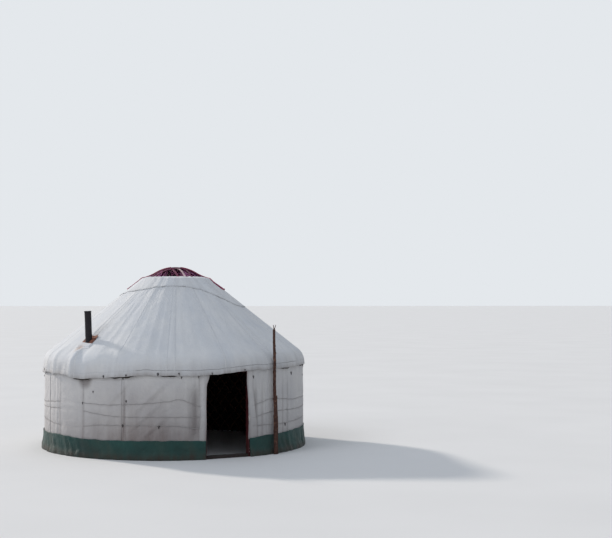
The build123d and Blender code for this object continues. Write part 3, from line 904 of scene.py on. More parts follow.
@dataclass(frozen=True)
class WallCloths:
    """Eight widths of canvas hung round the lattice, lapped at their edges."""

    shell: Shell
    height: float = 1.76
    foot: float = 0.03
    thickness: float = 0.0035
    widths: int = 8
    lap: float = 1.1
    columns: int = 84
    rows: int = 60
    hidden_folds: int = 26
    rope_bite: float = 0.0035
    door_gap: float = 0.17
    jamb_front: float = 2.7072
    strip_size: tuple[float, float] = (0.14, 1.36)
    # Heights of the three girth ropes, from the upper to the lower, which draw the cloth in.
    rope_lines: tuple[RoundLine, ...] = tuple(
        RoundLine(knots, soften=(-1.2, -0.6, 0.0, 0.6, 1.2))
        for knots in (
            (
                (10.6, 0.985), (12.4, 0.998), (20.8, 1.104), (26.0, 1.09), (38.0, 1.036), (46.4, 1.04),
                (110.0, 0.99), (150.0, 1.03), (190.0, 0.98), (230.0, 1.02), (262.0, 0.99), (280.0, 1.05),
                (287.7, 1.074), (297.1, 1.059), (308.7, 1.040), (317.6, 1.055), (328.5, 1.090),
                (336.4, 1.125), (339.5, 1.172), (342.6, 1.115), (346.2, 1.040), (349.4, 1.010),
            ),
            (
                (10.6, 0.745), (18.3, 0.820), (24.0, 0.85), (45.0, 0.83), (80.0, 0.87), (120.0, 0.84),
                (160.0, 0.88), (200.0, 0.83), (240.0, 0.87), (270.0, 0.90), (288.0, 0.93), (297.1, 0.905),
                (308.8, 0.838), (316.3, 0.818), (328.6, 0.822), (340.0, 0.820), (349.4, 0.815),
            ),
            (
                (10.6, 0.600), (30.6, 0.580), (60.0, 0.62), (100.0, 0.64), (140.0, 0.61), (180.0, 0.65),
                (220.0, 0.62), (260.0, 0.65), (285.0, 0.575), (296.0, 0.595), (305.0, 0.650),
                (328.6, 0.665), (340.3, 0.645), (345.0, 0.605), (349.4, 0.590),
            ),
        )
    )
    # Upright folds that hang from the eave, and the creases that the photograph shows on the left.
    seen_folds: tuple[Fold, ...] = (
        Fold((-81.2, 1.75), (-81.4, 0.05), 0.030, 0.010, 0.05),
        Fold((-83.2, 1.75), (-83.2, 0.05), 0.040, -0.006, 0.05),
        Fold((-64.3, 1.30), (-64.5, 0.30), 0.022, 0.007, 0.1),
        Fold((-63.0, 1.20), (-63.0, 0.35), 0.018, -0.005, 0.1),
        Fold((-43.9, 1.75), (-43.2, 0.10), 0.026, 0.008, 0.05),
        Fold((-42.2, 1.20), (-43.4, 0.20), 0.020, -0.006, 0.1),
        Fold((-51.0, 1.00), (-42.0, 1.46), 0.050, 0.015),
        Fold((-49.6, 0.96), (-41.0, 1.40), 0.030, -0.008),
        Fold((-38.0, 0.95), (-27.0, 1.44), 0.042, 0.018),
        Fold((-36.4, 0.92), (-26.0, 1.36), 0.028, -0.009),
        Fold((-39.5, 0.62), (-30.0, 1.02), 0.036, 0.015),
        Fold((-38.0, 0.58), (-29.0, 0.95), 0.026, -0.008),
        Fold((-35.0, 0.44), (-25.5, 0.84), 0.036, 0.016),
        Fold((-33.6, 0.42), (-24.6, 0.76), 0.026, -0.008),
        Fold((-53.0, 0.60), (-46.5, 0.86), 0.034, 0.012),
        Fold((-24.0, 1.55), (-20.5, 0.45), 0.045, -0.004),
        Fold((-17.5, 1.45), (-16.5, 0.35), 0.030, 0.008),
        Fold((-13.8, 1.60), (-13.6, 0.30), 0.022, -0.006),
        Fold((12.2, 1.62), (14.2, 0.30), 0.020, 0.013, 0.05),
        Fold((14.6, 1.65), (17.6, 0.25), 0.022, -0.006, 0.05),
        Fold((16.8, 1.65), (19.0, 0.30), 0.020, 0.009, 0.05),
        Fold((19.8, 1.70), (20.2, 0.30), 0.024, 0.008, 0.05),
        Fold((27.4, 1.70), (28.4, 0.40), 0.030, 0.009, 0.05),
        Fold((30.0, 1.72), (29.8, 0.30), 0.018, -0.007, 0.05),
        Fold((33.2, 1.72), (33.9, 0.30), 0.020, 0.011, 0.05),
        Fold((36.5, 1.72), (36.8, 0.40), 0.035, -0.006, 0.05),
        Fold((43.0, 1.72), (43.6, 0.30), 0.025, 0.010, 0.05),
        Fold((50.0, 1.72), (49.4, 0.30), 0.035, 0.008, 0.05),
    )

    @cached_property
    def folds(self) -> list[Fold]:
        """The folds that are seen, and more of the same kind round the hidden side.

        Returns:
            All the folds.
        """
        draw = np.random.default_rng(27)
        found = list(self.seen_folds)
        for number in range(self.hidden_folds):
            bearing = 58.0 + number * (212.0 / self.hidden_folds) + draw.uniform(-2.5, 2.5)
            top, foot = draw.uniform(1.2, 1.74), draw.uniform(0.1, 0.5)
            end = (bearing + draw.uniform(-3.0, 3.0), foot)
            width = draw.uniform(0.02, 0.05)
            found.append(Fold((bearing, top), end, width, draw.choice([0.009, -0.006, 0.007]), 0.1))
        return found

    def surface(self, bearing: Grid, height: Grid, lift: Grid | float = 0.0) -> Grid:
        """Points of the wall's outer side.

        Args:
            bearing: Degrees round the yurt.
            height: Metres above the ground.
            lift: Metres outwards from the cloth.

        Returns:
            Points with x, y and z on the last axis.
        """
        bearing, height = np.broadcast_arrays(np.asarray(bearing, float), np.asarray(height, float))
        across = bearing / self.shell.pole_pitch
        up = height / self.shell.diamond_height
        hollow = np.abs(np.sin(math.pi * (across + up)) * np.sin(math.pi * (across - up)))
        patchy = 0.6 + 0.4 * ripple(bearing, 21, (4, 7, 11)) * np.cos(height * 3.1)
        push = -0.0042 * hollow * np.clip(patchy, 0.2, 1.0)
        push = push + 0.0026 * ripple(bearing + 4.0 * height, 22, (17, 26, 39))
        for rope in self.rope_lines:
            gap = height - rope.at(bearing)
            push = push - self.rope_bite * bell(gap, 0.022) + 0.003 * bell(np.abs(gap) - 0.07, 0.05)
        for fold in self.folds:
            push = push + fold.lift(bearing, height, self.shell.wall_radius)
        push = np.maximum(push, -0.010) * (0.15 + 0.85 * rising(height, 0.25, 0.48)) + lift
        return place(bearing, self.shell.wall_radius + push, height)

    def weather(self, points: Grid) -> dict[str, Grid]:
        """Says where soil has splashed, where hands and water have left stains, and where rope grime and
        painted shade darken the cloth just below each rope.

        Args:
            points: Points of a width of cloth or of a strip on it.

        Returns:
            The soil factor, which also carries painted shade below the ropes, and the stain factor.
        """
        turn, height = polar(points)
        splash = 0.46 * falling(height, 0.35, 1.0) + 0.20 * falling(height, 0.9, 1.7)
        front = bell(turn + 33.0, 26.0)
        soil_and_shade = splash * (0.55 + 0.55 * front) + 0.22 * front * falling(height, 1.1, 1.7) + 0.05
        # Just below each rope the cloth is darker: rope grime and painted shade under the rope.
        for rope in self.rope_lines:
            soil_and_shade = soil_and_shade + 0.06 * bell(height - rope.at(turn) + 0.014, 0.018)
        for seam in (-78.6, -62.8, -42.9, 16.6, 30.0, 33.9):
            soil_and_shade = soil_and_shade + 0.30 * bell(ring_gap(turn, seam), 0.55) * falling(height, 1.2, 1.6)
        patch = np.hypot(ring_gap(turn, -61.9) * 0.0475, (height - 1.56) * 0.82)
        door = bell(ring_gap(turn, -14.4), 1.9) * rising(height, 0.3, 0.6) * falling(height, 1.15, 1.6)
        jamb = bell(ring_gap(turn, 12.6), 1.2) * falling(height, 0.9, 1.6)
        return {"soil_and_shade": soil_and_shade, "stain_and_shade": 0.68 * falling(patch, 0.11, 0.235) + 0.6 * door + 0.6 * jamb}

    def width(self, number: int) -> None:
        """Makes one width of cloth, which laps over the next.

        Args:
            number: 1 to 8, from the doorway's right round to its left.
        """
        pitch = TURN / self.widths
        first, last = (number - 1) * pitch, number * pitch + self.lap
        edge = self.shell.door_bearing + self.door_gap
        if number == 1:
            first = edge
        if number == self.widths:
            last = TURN - edge
        height = np.linspace(self.foot, self.height, self.rows)[:, None]
        share = np.linspace(0.0, 1.0, self.columns)[None, :]
        bearing = first + (last - first) * share
        lift = 0.0024 * rising(bearing, last - 1.6, last - 0.9)
        lift = lift - 0.0022 * falling(bearing, first + 1.2, first + 2.4)
        inset = np.minimum(share, 1.0 - share) * math.radians(last - first) * self.shell.wall_radius
        lift = (number > 1) * lift + 0.0016 * falling(inset, 0.018, 0.024)
        points = self.surface(bearing, height, lift)
        texture = (np.radians(bearing) * self.shell.wall_radius, height)
        looks = (Look.WEATHERED_WALL_CANVAS, Look.SMOKED_FELT_AND_GAP_SHADE)
        marks = self.weather(points)
        piece = make_sheet(f"wall_canvas_{number}", points, texture, looks, self.thickness, marks)
        cut = (math.radians(pitch + self.lap) * self.shell.wall_radius, self.height)
        rests = [f"lattice_section_{number}"]
        hand_over(piece, looks[0], [f"wall_cover_{number}"], flat=cut, held="hung", rests_on=rests)

    def door_strip(self, name: str, side: int) -> None:
        """Makes the doubled strip of canvas that laps from the wall's edge on to a jamb.

        Args:
            name: Which side of the doorway it is on.
            side: 1 on the right and -1 on the left.
        """
        height = np.linspace(0.34, 1.695, 70)[:, None]
        share = np.linspace(0.0, 1.0, 18)[None, :]
        if side > 0:
            inner = 0.442 - 0.040 * rising(height, 1.0, 1.5)
            outer = 11.6 + 2.4 * falling(height, 0.3, 1.45)
        else:
            inner = 0.454 - 0.064 * rising(height, 1.38, 1.62)
            outer = 12.3 + 0.3 * np.sin(height * 5.0)
        inner = np.degrees(np.arctan((inner + 0.003 * np.sin(height * 9.0 + side)) / self.jamb_front))
        bearing = inner + (outer - inner) * share
        wall = self.surface(side * bearing, height, 0.0062)
        wall = np.hypot(wall[..., 0], wall[..., 1])
        front = self.jamb_front / np.cos(np.radians(np.minimum(bearing, 10.6)))
        curl = 0.004 * falling(share, 0.0, 0.15) + 0.003 * rising(share, 0.9, 1.0)
        radius = wall + np.maximum(front - wall, 0.0) * falling(bearing, 10.55, 11.6)
        radius = radius + curl * (1.0 + np.sin(height * 11.0 + side))
        points = place(side * bearing, radius, height)[:, ::side]
        texture = (np.radians(bearing) * self.shell.wall_radius, height)
        # Darker towards the strip's inner edge and lower down; the darker band along its outer edge is
        # painted shadow where that edge stands off the wall.
        soil_and_shade = 0.2 + 0.35 * falling(share, 0.0, 0.4) + 0.25 * rising(share, 0.85, 1.0)
        marks = {"soil_and_shade": (soil_and_shade + 0.3 * falling(height, 0.4, 1.0))[:, ::side], "stain_and_shade": np.zeros(1)}
        looks = (Look.WEATHERED_WALL_CANVAS,)
        piece = make_sheet(f"door_strip_{name}", points, texture, looks, self.thickness, marks)
        rests = [f"door_jamb_{name}"]
        hand_over(piece, looks[0], flat=self.strip_size, held="hung", rests_on=rests)

    def build(self) -> None:
        """Makes every width of cloth and the two strips at the doorway."""
        for number in range(1, self.widths + 1):
            self.width(number)
        self.door_strip("right", 1)
        self.door_strip("left", -1)


@dataclass(frozen=True)
class GroundSkirt:
    """Green tarpaulin tied round the foot of the wall, muddy and bagging at the ground."""

    shell: Shell
    thickness: float = 0.003
    rows: int = 20
    columns: int = 300
    cut_height: float = 0.42
    # Height of the upper edge, which rises towards the right of the doorway.
    top_line: RoundLine = RoundLine(
        (
            (10.4, 0.368), (16.2, 0.380), (20.8, 0.398), (27.3, 0.392), (35.4, 0.415), (47.4, 0.424),
            (56.3, 0.432), (90.0, 0.405), (135.0, 0.375), (180.0, 0.360), (230.0, 0.372), (270.0, 0.385),
            (282.0, 0.402), (288.1, 0.384), (297.4, 0.366), (307.5, 0.364), (336.4, 0.374), (349.6, 0.362),
        )
    )

    def surface(self, bearing: Grid, share: Grid) -> Grid:
        """Points of the tarpaulin's outer side.

        Args:
            bearing: Degrees round the yurt, 0 to 360.
            share: 0 at the ground to 1 at the upper edge.

        Returns:
            Points with x, y and z on the last axis.
        """
        height = (self.top_line.at(bearing) + 0.0045 * ripple(bearing, 31, (29, 44, 67))) * share
        waves = 0.008 * ripple(bearing + 3.0 * share, 33, (37, 58, 83, 101))
        waves = waves + 0.006 * ripple(bearing - 4.0 * share, 37, (19, 31))
        bag = waves * (1.0 - 0.6 * rising(share, 0.55, 0.98))
        sag = np.sin(share * math.tau + ripple(bearing, 35, (13, 22)) * 2.0) * (1.0 - share)
        lean = 0.034 * falling(height, 0.0, 0.18) + 0.017
        door = falling(np.abs(ring_gap(bearing, 0.0)), 11.5, 15.0) * rising(share, 0.5, 0.9)
        push = np.clip(lean + bag + 0.006 * sag, 0.012, 0.054) + 0.0018 * rising(share, 0.90, 0.93)
        return place(bearing, self.shell.wall_radius + push + 0.012 * door, height)

    def side(self, name: str, first: float, last: float) -> None:
        """Makes one side's tarpaulin.

        Args:
            name: Which side of the doorway it is on.
            first: Bearing at which it starts.
            last: Bearing at which it ends.
        """
        bearing = np.linspace(first, last, self.columns)[None, :]
        points = self.surface(bearing, np.linspace(0.0, 1.0, self.rows)[:, None])
        height = points[..., 2]
        mud = 0.95 * falling(height, 0.01, 0.16) + 0.30 * falling(height, 0.1, 0.36)
        marks = {
            "soil_and_shade": mud + 0.10 * ripple(bearing + 40.0 * height, 39, (9, 16, 28)),
            "stain_and_shade": 0.20 * np.clip(ripple(bearing + 20.0 * height, 41, (12, 19, 31)), 0, 1),
        }
        texture = (np.radians(bearing) * self.shell.wall_radius, height)
        looks = (Look.GREEN_TARPAULIN,)
        piece = make_sheet(f"skirt_tarpaulin_{name}", points, texture, looks, self.thickness, marks)
        cut = (math.radians(last - first) * self.shell.wall_radius, self.cut_height)
        nodes, rests = [f"ground_skirt_{name}"], ["ground", "wall"]
        hand_over(piece, looks[0], nodes, flat=cut, held="gathered", rests_on=rests)

    def build(self) -> None:
        """Makes both sides, which lap at the back."""
        edge = self.shell.door_bearing - 0.75
        self.side("right", edge, 180.2)
        self.side("left", 179.8, TURN - edge)


class Tool(Enum):
    """What a tree lays on its guide, with its named sizes in metres; Lobe is a share of the radius."""

    STITCH = {"Spacing": 0.03, "Length": 0.02, "Width": 0.004, "Height": 0.003}
    ROPE = {"Radius": 0.005, "Lay": 0.08, "Step": 0.012, "Lobe": 0.2}
    STUD = {"Length": 0.01, "Width": 0.01, "Height": 0.006}
    KNOT = {"Size": 0.016, "Cord": 0.0045, "Tail": 0.05}

    @property
    def tree(self) -> bpy.types.NodeTree:
        """The tool's tree, built the first time that it is asked for."""
        name = f"{self.name.lower()}_along_guide"
        return bpy.data.node_groups.get(name) or ToolTree(self, name).tree


class ToolTree(Nodes):
    """The geometry tree of one tool, from a guide to its dressed body."""

    def __init__(self, tool: Tool, name: str) -> None:
        """Builds the tree.

        Args:
            tool: What the tree lays.
            name: The tree's name.
        """
        super().__init__(bpy.data.node_groups.new(name, "GeometryNodeTree"))
        face = self.tree.interface
        face.new_socket("Geometry", in_out="OUTPUT", socket_type="NodeSocketGeometry")
        face.new_socket("Geometry", in_out="INPUT", socket_type="NodeSocketGeometry")
        face.new_socket("Finish", in_out="INPUT", socket_type="NodeSocketMaterial")
        face.new_socket("Seed", in_out="INPUT", socket_type="NodeSocketInt").default_value = 1
        for label, value in tool.value.items():
            face.new_socket(label, in_out="INPUT", socket_type="NodeSocketFloat").default_value = value
        self.given = self.add("NodeGroupInput").outputs
        laid = {
            Tool.STITCH: self.stitches,
            Tool.ROPE: self.rope,
            Tool.STUD: self.studs,
            Tool.KNOT: self.knots,
        }
        body = self.add("GeometryNodeRealizeInstances", (laid[tool](),), "Geometry")
        dressed = {"Geometry": body, "Material": self.given["Finish"]}
        self.add("NodeGroupOutput", (self.add("GeometryNodeSetMaterial", dressed, "Geometry"),))

    def scatter(
        self, points: Socket, shape: Socket, spread: float, axis: str = "", along: Socket | None = None
    ) -> Socket:
        """Puts a shape on points, facing outwards and a little larger or smaller by the tree's seed.

        Args:
            points: Where the shapes go.
            shape: The shape.
            spread: Share by which its size varies.
            axis: The shape's axis that runs along a line, if one does.
            along: The line's direction.

        Returns:
            The instances.
        """
        outward = {"Name": "outward"}
        outward = self.add("GeometryNodeInputNamedAttribute", outward, "Attribute", data_type="FLOAT_VECTOR")
        kind = "FunctionNodeAlignRotationToVector"
        rotation = self.add(kind, {"Vector": outward}, "Rotation", axis="Z")
        if axis:
            feeds = {"Rotation": rotation, "Vector": along}
            rotation = self.add(kind, feeds, "Rotation", axis=axis, pivot_axis="Z")
        feeds = {2: 1.0 - spread, 3: 1.0 + spread, "Seed": self.given["Seed"]}
        size = self.add("FunctionNodeRandomValue", feeds, 1, data_type="FLOAT")
        feeds = {"Points": points, "Instance": shape, "Rotation": rotation, "Scale": size}
        return self.add("GeometryNodeInstanceOnPoints", feeds, "Instances")

    def bead(self, segments: int, rings: int) -> Socket:
        """A small rounded body whose three sizes are the tree's Length, Width and Height.

        Args:
            segments: Sides round the body.
            rings: Steps from pole to pole.

        Returns:
            The body.
        """
        ball = {"Segments": segments, "Rings": rings, "Radius": 0.5}
        ball = self.add("GeometryNodeMeshUVSphere", ball, "Mesh")
        sides = [self.given[side] for side in ("Length", "Width", "Height")]
        size = self.add("ShaderNodeCombineXYZ", sides, 0)
        shaped = self.add("GeometryNodeTransform", {"Geometry": ball, "Scale": size}, 0)
        return self.add("GeometryNodeSetShadeSmooth", (shaped,), 0)

    def steps(self, label: str) -> Socket:
        """Divides the guide's lines into even steps.

        Args:
            label: Which of the tree's sizes is the step.

        Returns:
            The lines, with a point at each step.
        """
        line = self.add("GeometryNodeMeshToCurve", {"Mesh": self.given["Geometry"]}, "Curve")
        feeds = {"Curve": line, "Length": self.given[label]}
        return self.add("GeometryNodeResampleCurve", feeds, "Curve", mode="LENGTH")

    def stitches(self) -> Socket:
        """Beads that lie along the lines, one at each Spacing.

        Returns:
            The stitches.
        """
        kept = self.add("GeometryNodeCaptureAttribute", (self.steps("Spacing"),), domain="POINT")
        kept.capture_items.new("VECTOR", "Tangent")
        self.feed(kept, {"Tangent": self.add("GeometryNodeInputTangent", output="Tangent")})
        points = (kept.outputs["Geometry"],)
        points = self.add("GeometryNodeCurveToPoints", points, "Points", mode="EVALUATED")
        return self.scatter(points, self.bead(6, 4), 0.12, "X", kept.outputs["Tangent"])

    def studs(self) -> Socket:
        """A rounded head on each point."""
        points = self.add("GeometryNodeMeshToPoints", (self.given["Geometry"],), "Points")
        return self.scatter(points, self.bead(8, 5), 0.08)

    def knots(self) -> Socket:
        """A loop of cord with two hanging ends on each point.

        Returns:
            The knots.
        """
        round_line = "GeometryNodeCurvePrimitiveCircle"
        cord = self.add(round_line, {"Resolution": 6, "Radius": self.given["Cord"]}, "Curve", mode="RADIUS")
        loop = {"Resolution": 10, "Radius": self.given["Size"]}
        lines = [self.add(round_line, loop, "Curve", mode="RADIUS")]
        for side in (-0.35, 0.55):
            drop = (self.given["Tail"], -1.0 - 0.3 * side)
            drop = self.add("ShaderNodeMath", drop, 0, operation="MULTIPLY")
            end = self.add("ShaderNodeCombineXYZ", {"Y": drop, "Z": 0.003}, 0)
            tail = {"Start": (0.010 * side, -0.004, 0.004), "End": end}
            lines.append(self.add("GeometryNodeCurvePrimitiveLine", tail, "Curve"))
        joined = self.add("GeometryNodeJoinGeometry")
        for line in lines:
            swept = {"Curve": line, "Profile Curve": cord, "Fill Caps": True}
            self.feed(joined, (self.add("GeometryNodeCurveToMesh", swept, "Mesh"),))
        smooth = self.add("GeometryNodeSetShadeSmooth", (joined.outputs[0],), 0)
        points = self.add("GeometryNodeMeshToPoints", (self.given["Geometry"],), "Points")
        return self.scatter(points, smooth, 0.22, "Y", self.add("ShaderNodeCombineXYZ", {"Z": 1.0}, 0))

    def rope(self) -> Socket:
        """A rope whose section has three lobes that turn along the line, one turn in each Lay.

        Returns:
            The rope.
        """
        along = self.add("GeometryNodeSplineParameter", output="Length")
        turns = self.add("ShaderNodeMath", (along, self.given["Lay"]), 0, operation="DIVIDE")
        angle = self.add("ShaderNodeMath", (turns, math.tau), 0, operation="MULTIPLY")
        tilted = {"Curve": self.steps("Step"), "Tilt": angle}
        tilted = self.add("GeometryNodeSetCurveTilt", tilted, "Curve")
        share = self.add("GeometryNodeSplineParameter", output="Factor")
        wave = self.add("ShaderNodeMath", (share, 3.0 * math.tau), 0, operation="MULTIPLY")
        wave = self.add("ShaderNodeMath", (wave,), 0, operation="COSINE")
        wave = self.add("ShaderNodeMath", (wave, self.given["Lobe"]), 0, operation="MULTIPLY")
        spot = {"Vector": self.add("GeometryNodeInputPosition", output="Position"), "Scale": wave}
        shift = self.add("ShaderNodeVectorMath", spot, "Vector", operation="SCALE")
        section = {"Resolution": 12, "Radius": self.given["Radius"]}
        section = self.add("GeometryNodeCurvePrimitiveCircle", section, "Curve", mode="RADIUS")
        lobed = self.add("GeometryNodeSetPosition", {"Geometry": section, "Offset": shift}, "Geometry")
        swept = {"Curve": tilted, "Profile Curve": lobed, "Fill Caps": True}
        swept = self.add("GeometryNodeCurveToMesh", swept, "Mesh")
        return self.add("GeometryNodeSetShadeSmooth", (swept,), 0)


def repeat(
    name: str, tool: Tool, look: Look, seed: int, lines: Lines, nodes: Sequence[str] = (), **sizes: float
) -> None:
    """Runs a tool's tree along guide lines or at guide points and leaves a plain mesh.

    Args:
        name: The piece's name.
        tool: What is laid.
        look: The piece's finish.
        seed: Fixes what is uneven.
        lines: The points of each line, and the directions that face outwards there.
        nodes: The frame's nodes that the piece stands for.
        sizes: Values of the tree's named inputs, in lower case.
    """
    points = np.concatenate([np.atleast_2d(line) for line, _ in lines])
    outward = np.concatenate([np.broadcast_to(out, np.atleast_2d(line).shape) for line, out in lines])
    ends = set(np.cumsum([len(np.atleast_2d(line)) for line, _ in lines]).tolist())
    joined = tool in (Tool.STITCH, Tool.ROPE)
    edges = [(i, i + 1) for i in range(len(points) - 1) if joined and i + 1 not in ends]
    mesh = bpy.data.meshes.new(name)
    mesh.from_pydata(points.tolist(), edges, [])
    attribute = mesh.attributes.new("outward", "FLOAT_VECTOR", "POINT")
    attribute.data.foreach_set("vector", outward.astype(np.float32).ravel())
    piece = link(name, mesh)
    modifier = piece.modifiers.new(tool.name.lower(), "NODES")
    modifier.node_group = tool.tree
    values = {"Finish": look.material, "Seed": seed} | {key.capitalize(): size for key, size in sizes.items()}
    for item in tool.tree.interface.items_tree:
        if item.in_out == "INPUT" and item.name in values:
            modifier[item.identifier] = values[item.name]
    mesh = settle(piece).data
    for spare in {"outward", "Tangent"} & set(mesh.attributes.keys()):
        mesh.attributes.remove(mesh.attributes[spare])
    if not mesh.materials:
        mesh.materials.append(look.material)
    hand_over(piece, look, nodes)


def join(name: str, pieces: list[Piece], look: Look, nodes: Sequence[str] = ()) -> None:
    """Joins pieces of one finish into one.

    Args:
        name: The joined piece's name.
        pieces: The pieces.
        look: Their finish.
        nodes: The frame's nodes that they stand for.
    """
    whole = pieces[0]
    chosen = {"selected_editable_objects": pieces, "selected_objects": pieces}
    with bpy.context.temp_override(active_object=whole, object=whole, **chosen):
        bpy.ops.object.join()
    whole.name = name
    hand_over(whole, look, nodes)


@dataclass(frozen=True)
class Seams:
    """Flat-felled seams of the roof and the wall, their stitches, the hem's stitching and its ties."""

    shell: Shell
    roof: RoofCover
    walls: WallCloths
    half_width: float = 0.015
    proud: float = 0.0018
    # Bearings of the roof's seams: a lapped pair and a single one, and their like all round.
    roof_seams: tuple[float, ...] = (-25.6, -22.2, -46.4)
    roof_pitch: float = 45.0
    wall_seams: tuple[float, ...] = (-78.4, -62.7, -42.6, 19.8, 33.8, 66.0, 112.0, 157.0, -157.0, -112.0)
    cord_bearings: tuple[float, float] = (-38.0, 40.0)
    # Bearings and heights of the ties that the photograph shows.
    seen_ties: tuple[tuple[float, float], ...] = (
        (-43.4, 1.574), (-41.7, 1.626), (-51.6, 1.598), (-28.9, 1.655), (-20.6, 1.660), (-19.6, 1.586),
        (-12.7, 1.592), (-7.4, 1.655), (6.9, 1.705), (11.7, 1.565), (37.4, 1.585), (31.8, 0.560),
        (-63.2, 1.062), (-57.4, 1.290), (-42.0, 1.128), (-43.4, 0.662), (-28.6, 0.650),
    )

    def strip(
        self, cloth: RoofCover | WallCloths, look: Look, bearing: Grid, run: Grid, radius: Grid
    ) -> Piece:
        """Makes a narrow doubled strip of cloth along a seam.

        Args:
            cloth: The cloth that it lies on.
            look: The cloth's finish.
            bearing: Degrees round the yurt along the seam.
            run: The second coordinate of the cloth's surface along the seam.
            radius: Distance from the middle along the seam.

        Returns:
            The strip.
        """
        steps = np.array([-1.0, -0.86, -0.3, 0.0, 0.3, 0.86, 1.0]) * self.half_width
        lifts = np.array([-0.35, 0.95, 1.0, 0.86, 1.0, 0.95, -0.35]) * self.proud
        across = bearing[:, None] + np.degrees(steps / radius[:, None])
        points = cloth.surface(across, run[:, None], lifts)
        length = np.cumsum(np.linalg.norm(np.diff(points[:, 3], axis=0, prepend=points[:1, 3]), axis=1))
        return make_sheet("strip", points, (steps, length[:, None]), (look,), 0.0, cloth.weather(points))

    def sew(self, name: str, seed: int, lines: Lines) -> None:
        """Lays thread stitches along lines, made uneven by a seed."""
        sizes = {"spacing": 0.04, "length": 0.024, "width": 0.0032, "height": 0.0026}
        repeat(name, Tool.STITCH, Look.LINEN_THREAD, seed, lines, **sizes)

    def rows(
        self, cloth: RoofCover | WallCloths, line: tuple[Grid, Grid, Grid], lift: float, rise: float
    ) -> Lines:
        """Says where the stitches run along both edges of a strip.

        Args:
            cloth: The cloth that the strip lies on.
            line: The strip's bearings, runs and radii.
            lift: How far the stitches lie off the strip.
            rise: Degrees that they face upwards.

        Returns:
            The two lines.
        """
        bearing, run, radius = line
        both = [bearing + np.degrees(share * self.half_width / radius) for share in (-0.66, 0.66)]
        return [(cloth.surface(across, run, self.proud + lift), facing(across, rise)) for across in both]

    def on_roof(self) -> None:
        """Makes the roof's seams and their stitches, from the hem up to the crown."""
        shell, strips, lines = self.shell, [], []
        for turn in np.arange(0.0, TURN, self.roof_pitch):
            for bearing in np.add(self.roof_seams, turn):
                edge = shell.run_at_height(self.roof.edge_height(bearing)) + 0.002
                top = shell.line.run[-5]
                run = np.concatenate([np.linspace(edge, 0.28, 24), np.linspace(0.28, top, 46)[1:]])
                line = (np.full_like(run, bearing), run, np.interp(run, shell.line.run, shell.line.radius))
                strips.append(self.strip(self.roof, Look.COTTON_CANVAS, *line))
                lines += self.rows(self.roof, line, 0.0005, 30.0)
        join("roof_seams", strips, Look.COTTON_CANVAS)
        self.sew("roof_seam_stitches", 3, lines)

    def on_hem(self) -> None:
        """Makes the stitches along the hem's band and its edge, and the draw cord over the doorway."""
        roof, band = self.roof, self.roof.hem_band

        def row(bearing: Grid, above: float, lift: float) -> tuple[Grid, Grid]:
            """A line at a height above the hem's edge."""
            run = self.shell.run_at_height(roof.edge_height(bearing) + above)
            return roof.surface(bearing, run, lift), facing(bearing)

        turn = np.linspace(0.0, TURN, 721)
        rows = [row(turn, above, 0.0006) for above in (band - 0.006, band - 0.016, 0.016)]
        self.sew("hem_stitches", 5, rows)
        line = row(np.linspace(*self.cord_bearings, 200), band - 0.011, 0.001)
        sizes = {"radius": 0.0028, "lay": 0.03, "step": 0.02}
        repeat("hem_draw_cord", Tool.ROPE, Look.WEATHERED_HAIR_ROPE, 6, [line], **sizes)

    def on_walls(self) -> None:
        """Makes the wall's seams and their stitches."""
        strips, lines = [], []
        height = np.linspace(0.06, 1.72, 56)
        radius = np.full_like(height, self.shell.wall_radius)
        for number, bearing in enumerate(self.wall_seams):
            line = (bearing + 0.35 * np.sin(height * 1.7 + number), height, radius)
            strips.append(self.strip(self.walls, Look.WEATHERED_WALL_CANVAS, *line))
            lines += self.rows(self.walls, line, 0.0004, 0.0)
        join("wall_seams", strips, Look.WEATHERED_WALL_CANVAS)
        self.sew("wall_seam_stitches", 7, lines)

    def ties(self) -> None:
        """Makes the knotted ties under and on the hem: where the photograph shows them, then evenly."""
        spaced = [(bearing, 1.655 if bearing % 2 else 1.50) for bearing in range(56, 272, 9)]
        lines = []
        for bearing, height in (*self.seen_ties, *spaced):
            if height > self.roof.edge_height(bearing):
                spot = self.roof.surface(bearing, self.shell.run_at_height(height), 0.004)
            else:
                spot = self.walls.surface(bearing, height, 0.005)
            lines.append((spot, facing(bearing)))
        repeat("hem_ties", Tool.KNOT, Look.DARK_HAIR_CORD, 13, lines, size=0.013, cord=0.005, tail=0.034)

    def build(self) -> None:
        """Makes the seams, stitches and ties."""
        self.on_roof()
        self.on_hem()
        self.on_walls()
        self.ties()


@dataclass(frozen=True)
class GirthRopes:
    """Three hair ropes wound round the wall, each slack between its ties."""

    shell: Shell
    walls: WallCloths
    radius: float = 0.0052
    lay: float = 0.07
    door_gap: float = 0.9
    # Bearings between which the ropes pass under the lapped cloth left of the doorway.
    hidden: tuple[float, float] = (281.5, 297.4)

    def build(self) -> None:
        """Lays the three ropes on the cloth, from the doorway's right round to its left."""
        lines = []
        edge = self.shell.door_bearing + self.door_gap
        for number, rope in enumerate(self.walls.rope_lines):
            for first, last in ((edge, self.hidden[0]), (self.hidden[1], TURN - edge)):
                bearing = np.linspace(first, last, int(2.6 * (last - first)))
                height = rope.at(bearing) + 0.0035 * ripple(bearing, 51 + number, (61, 97))
                lines.append((self.walls.surface(bearing, height, self.radius * 0.75), facing(bearing)))
        sizes = {"radius": self.radius, "lay": self.lay, "step": 0.013, "lobe": 0.2}
        look = Look.WEATHERED_HAIR_ROPE
        repeat("girth_hair_ropes", Tool.ROPE, look, 15, lines, ["girth_ropes"], **sizes)


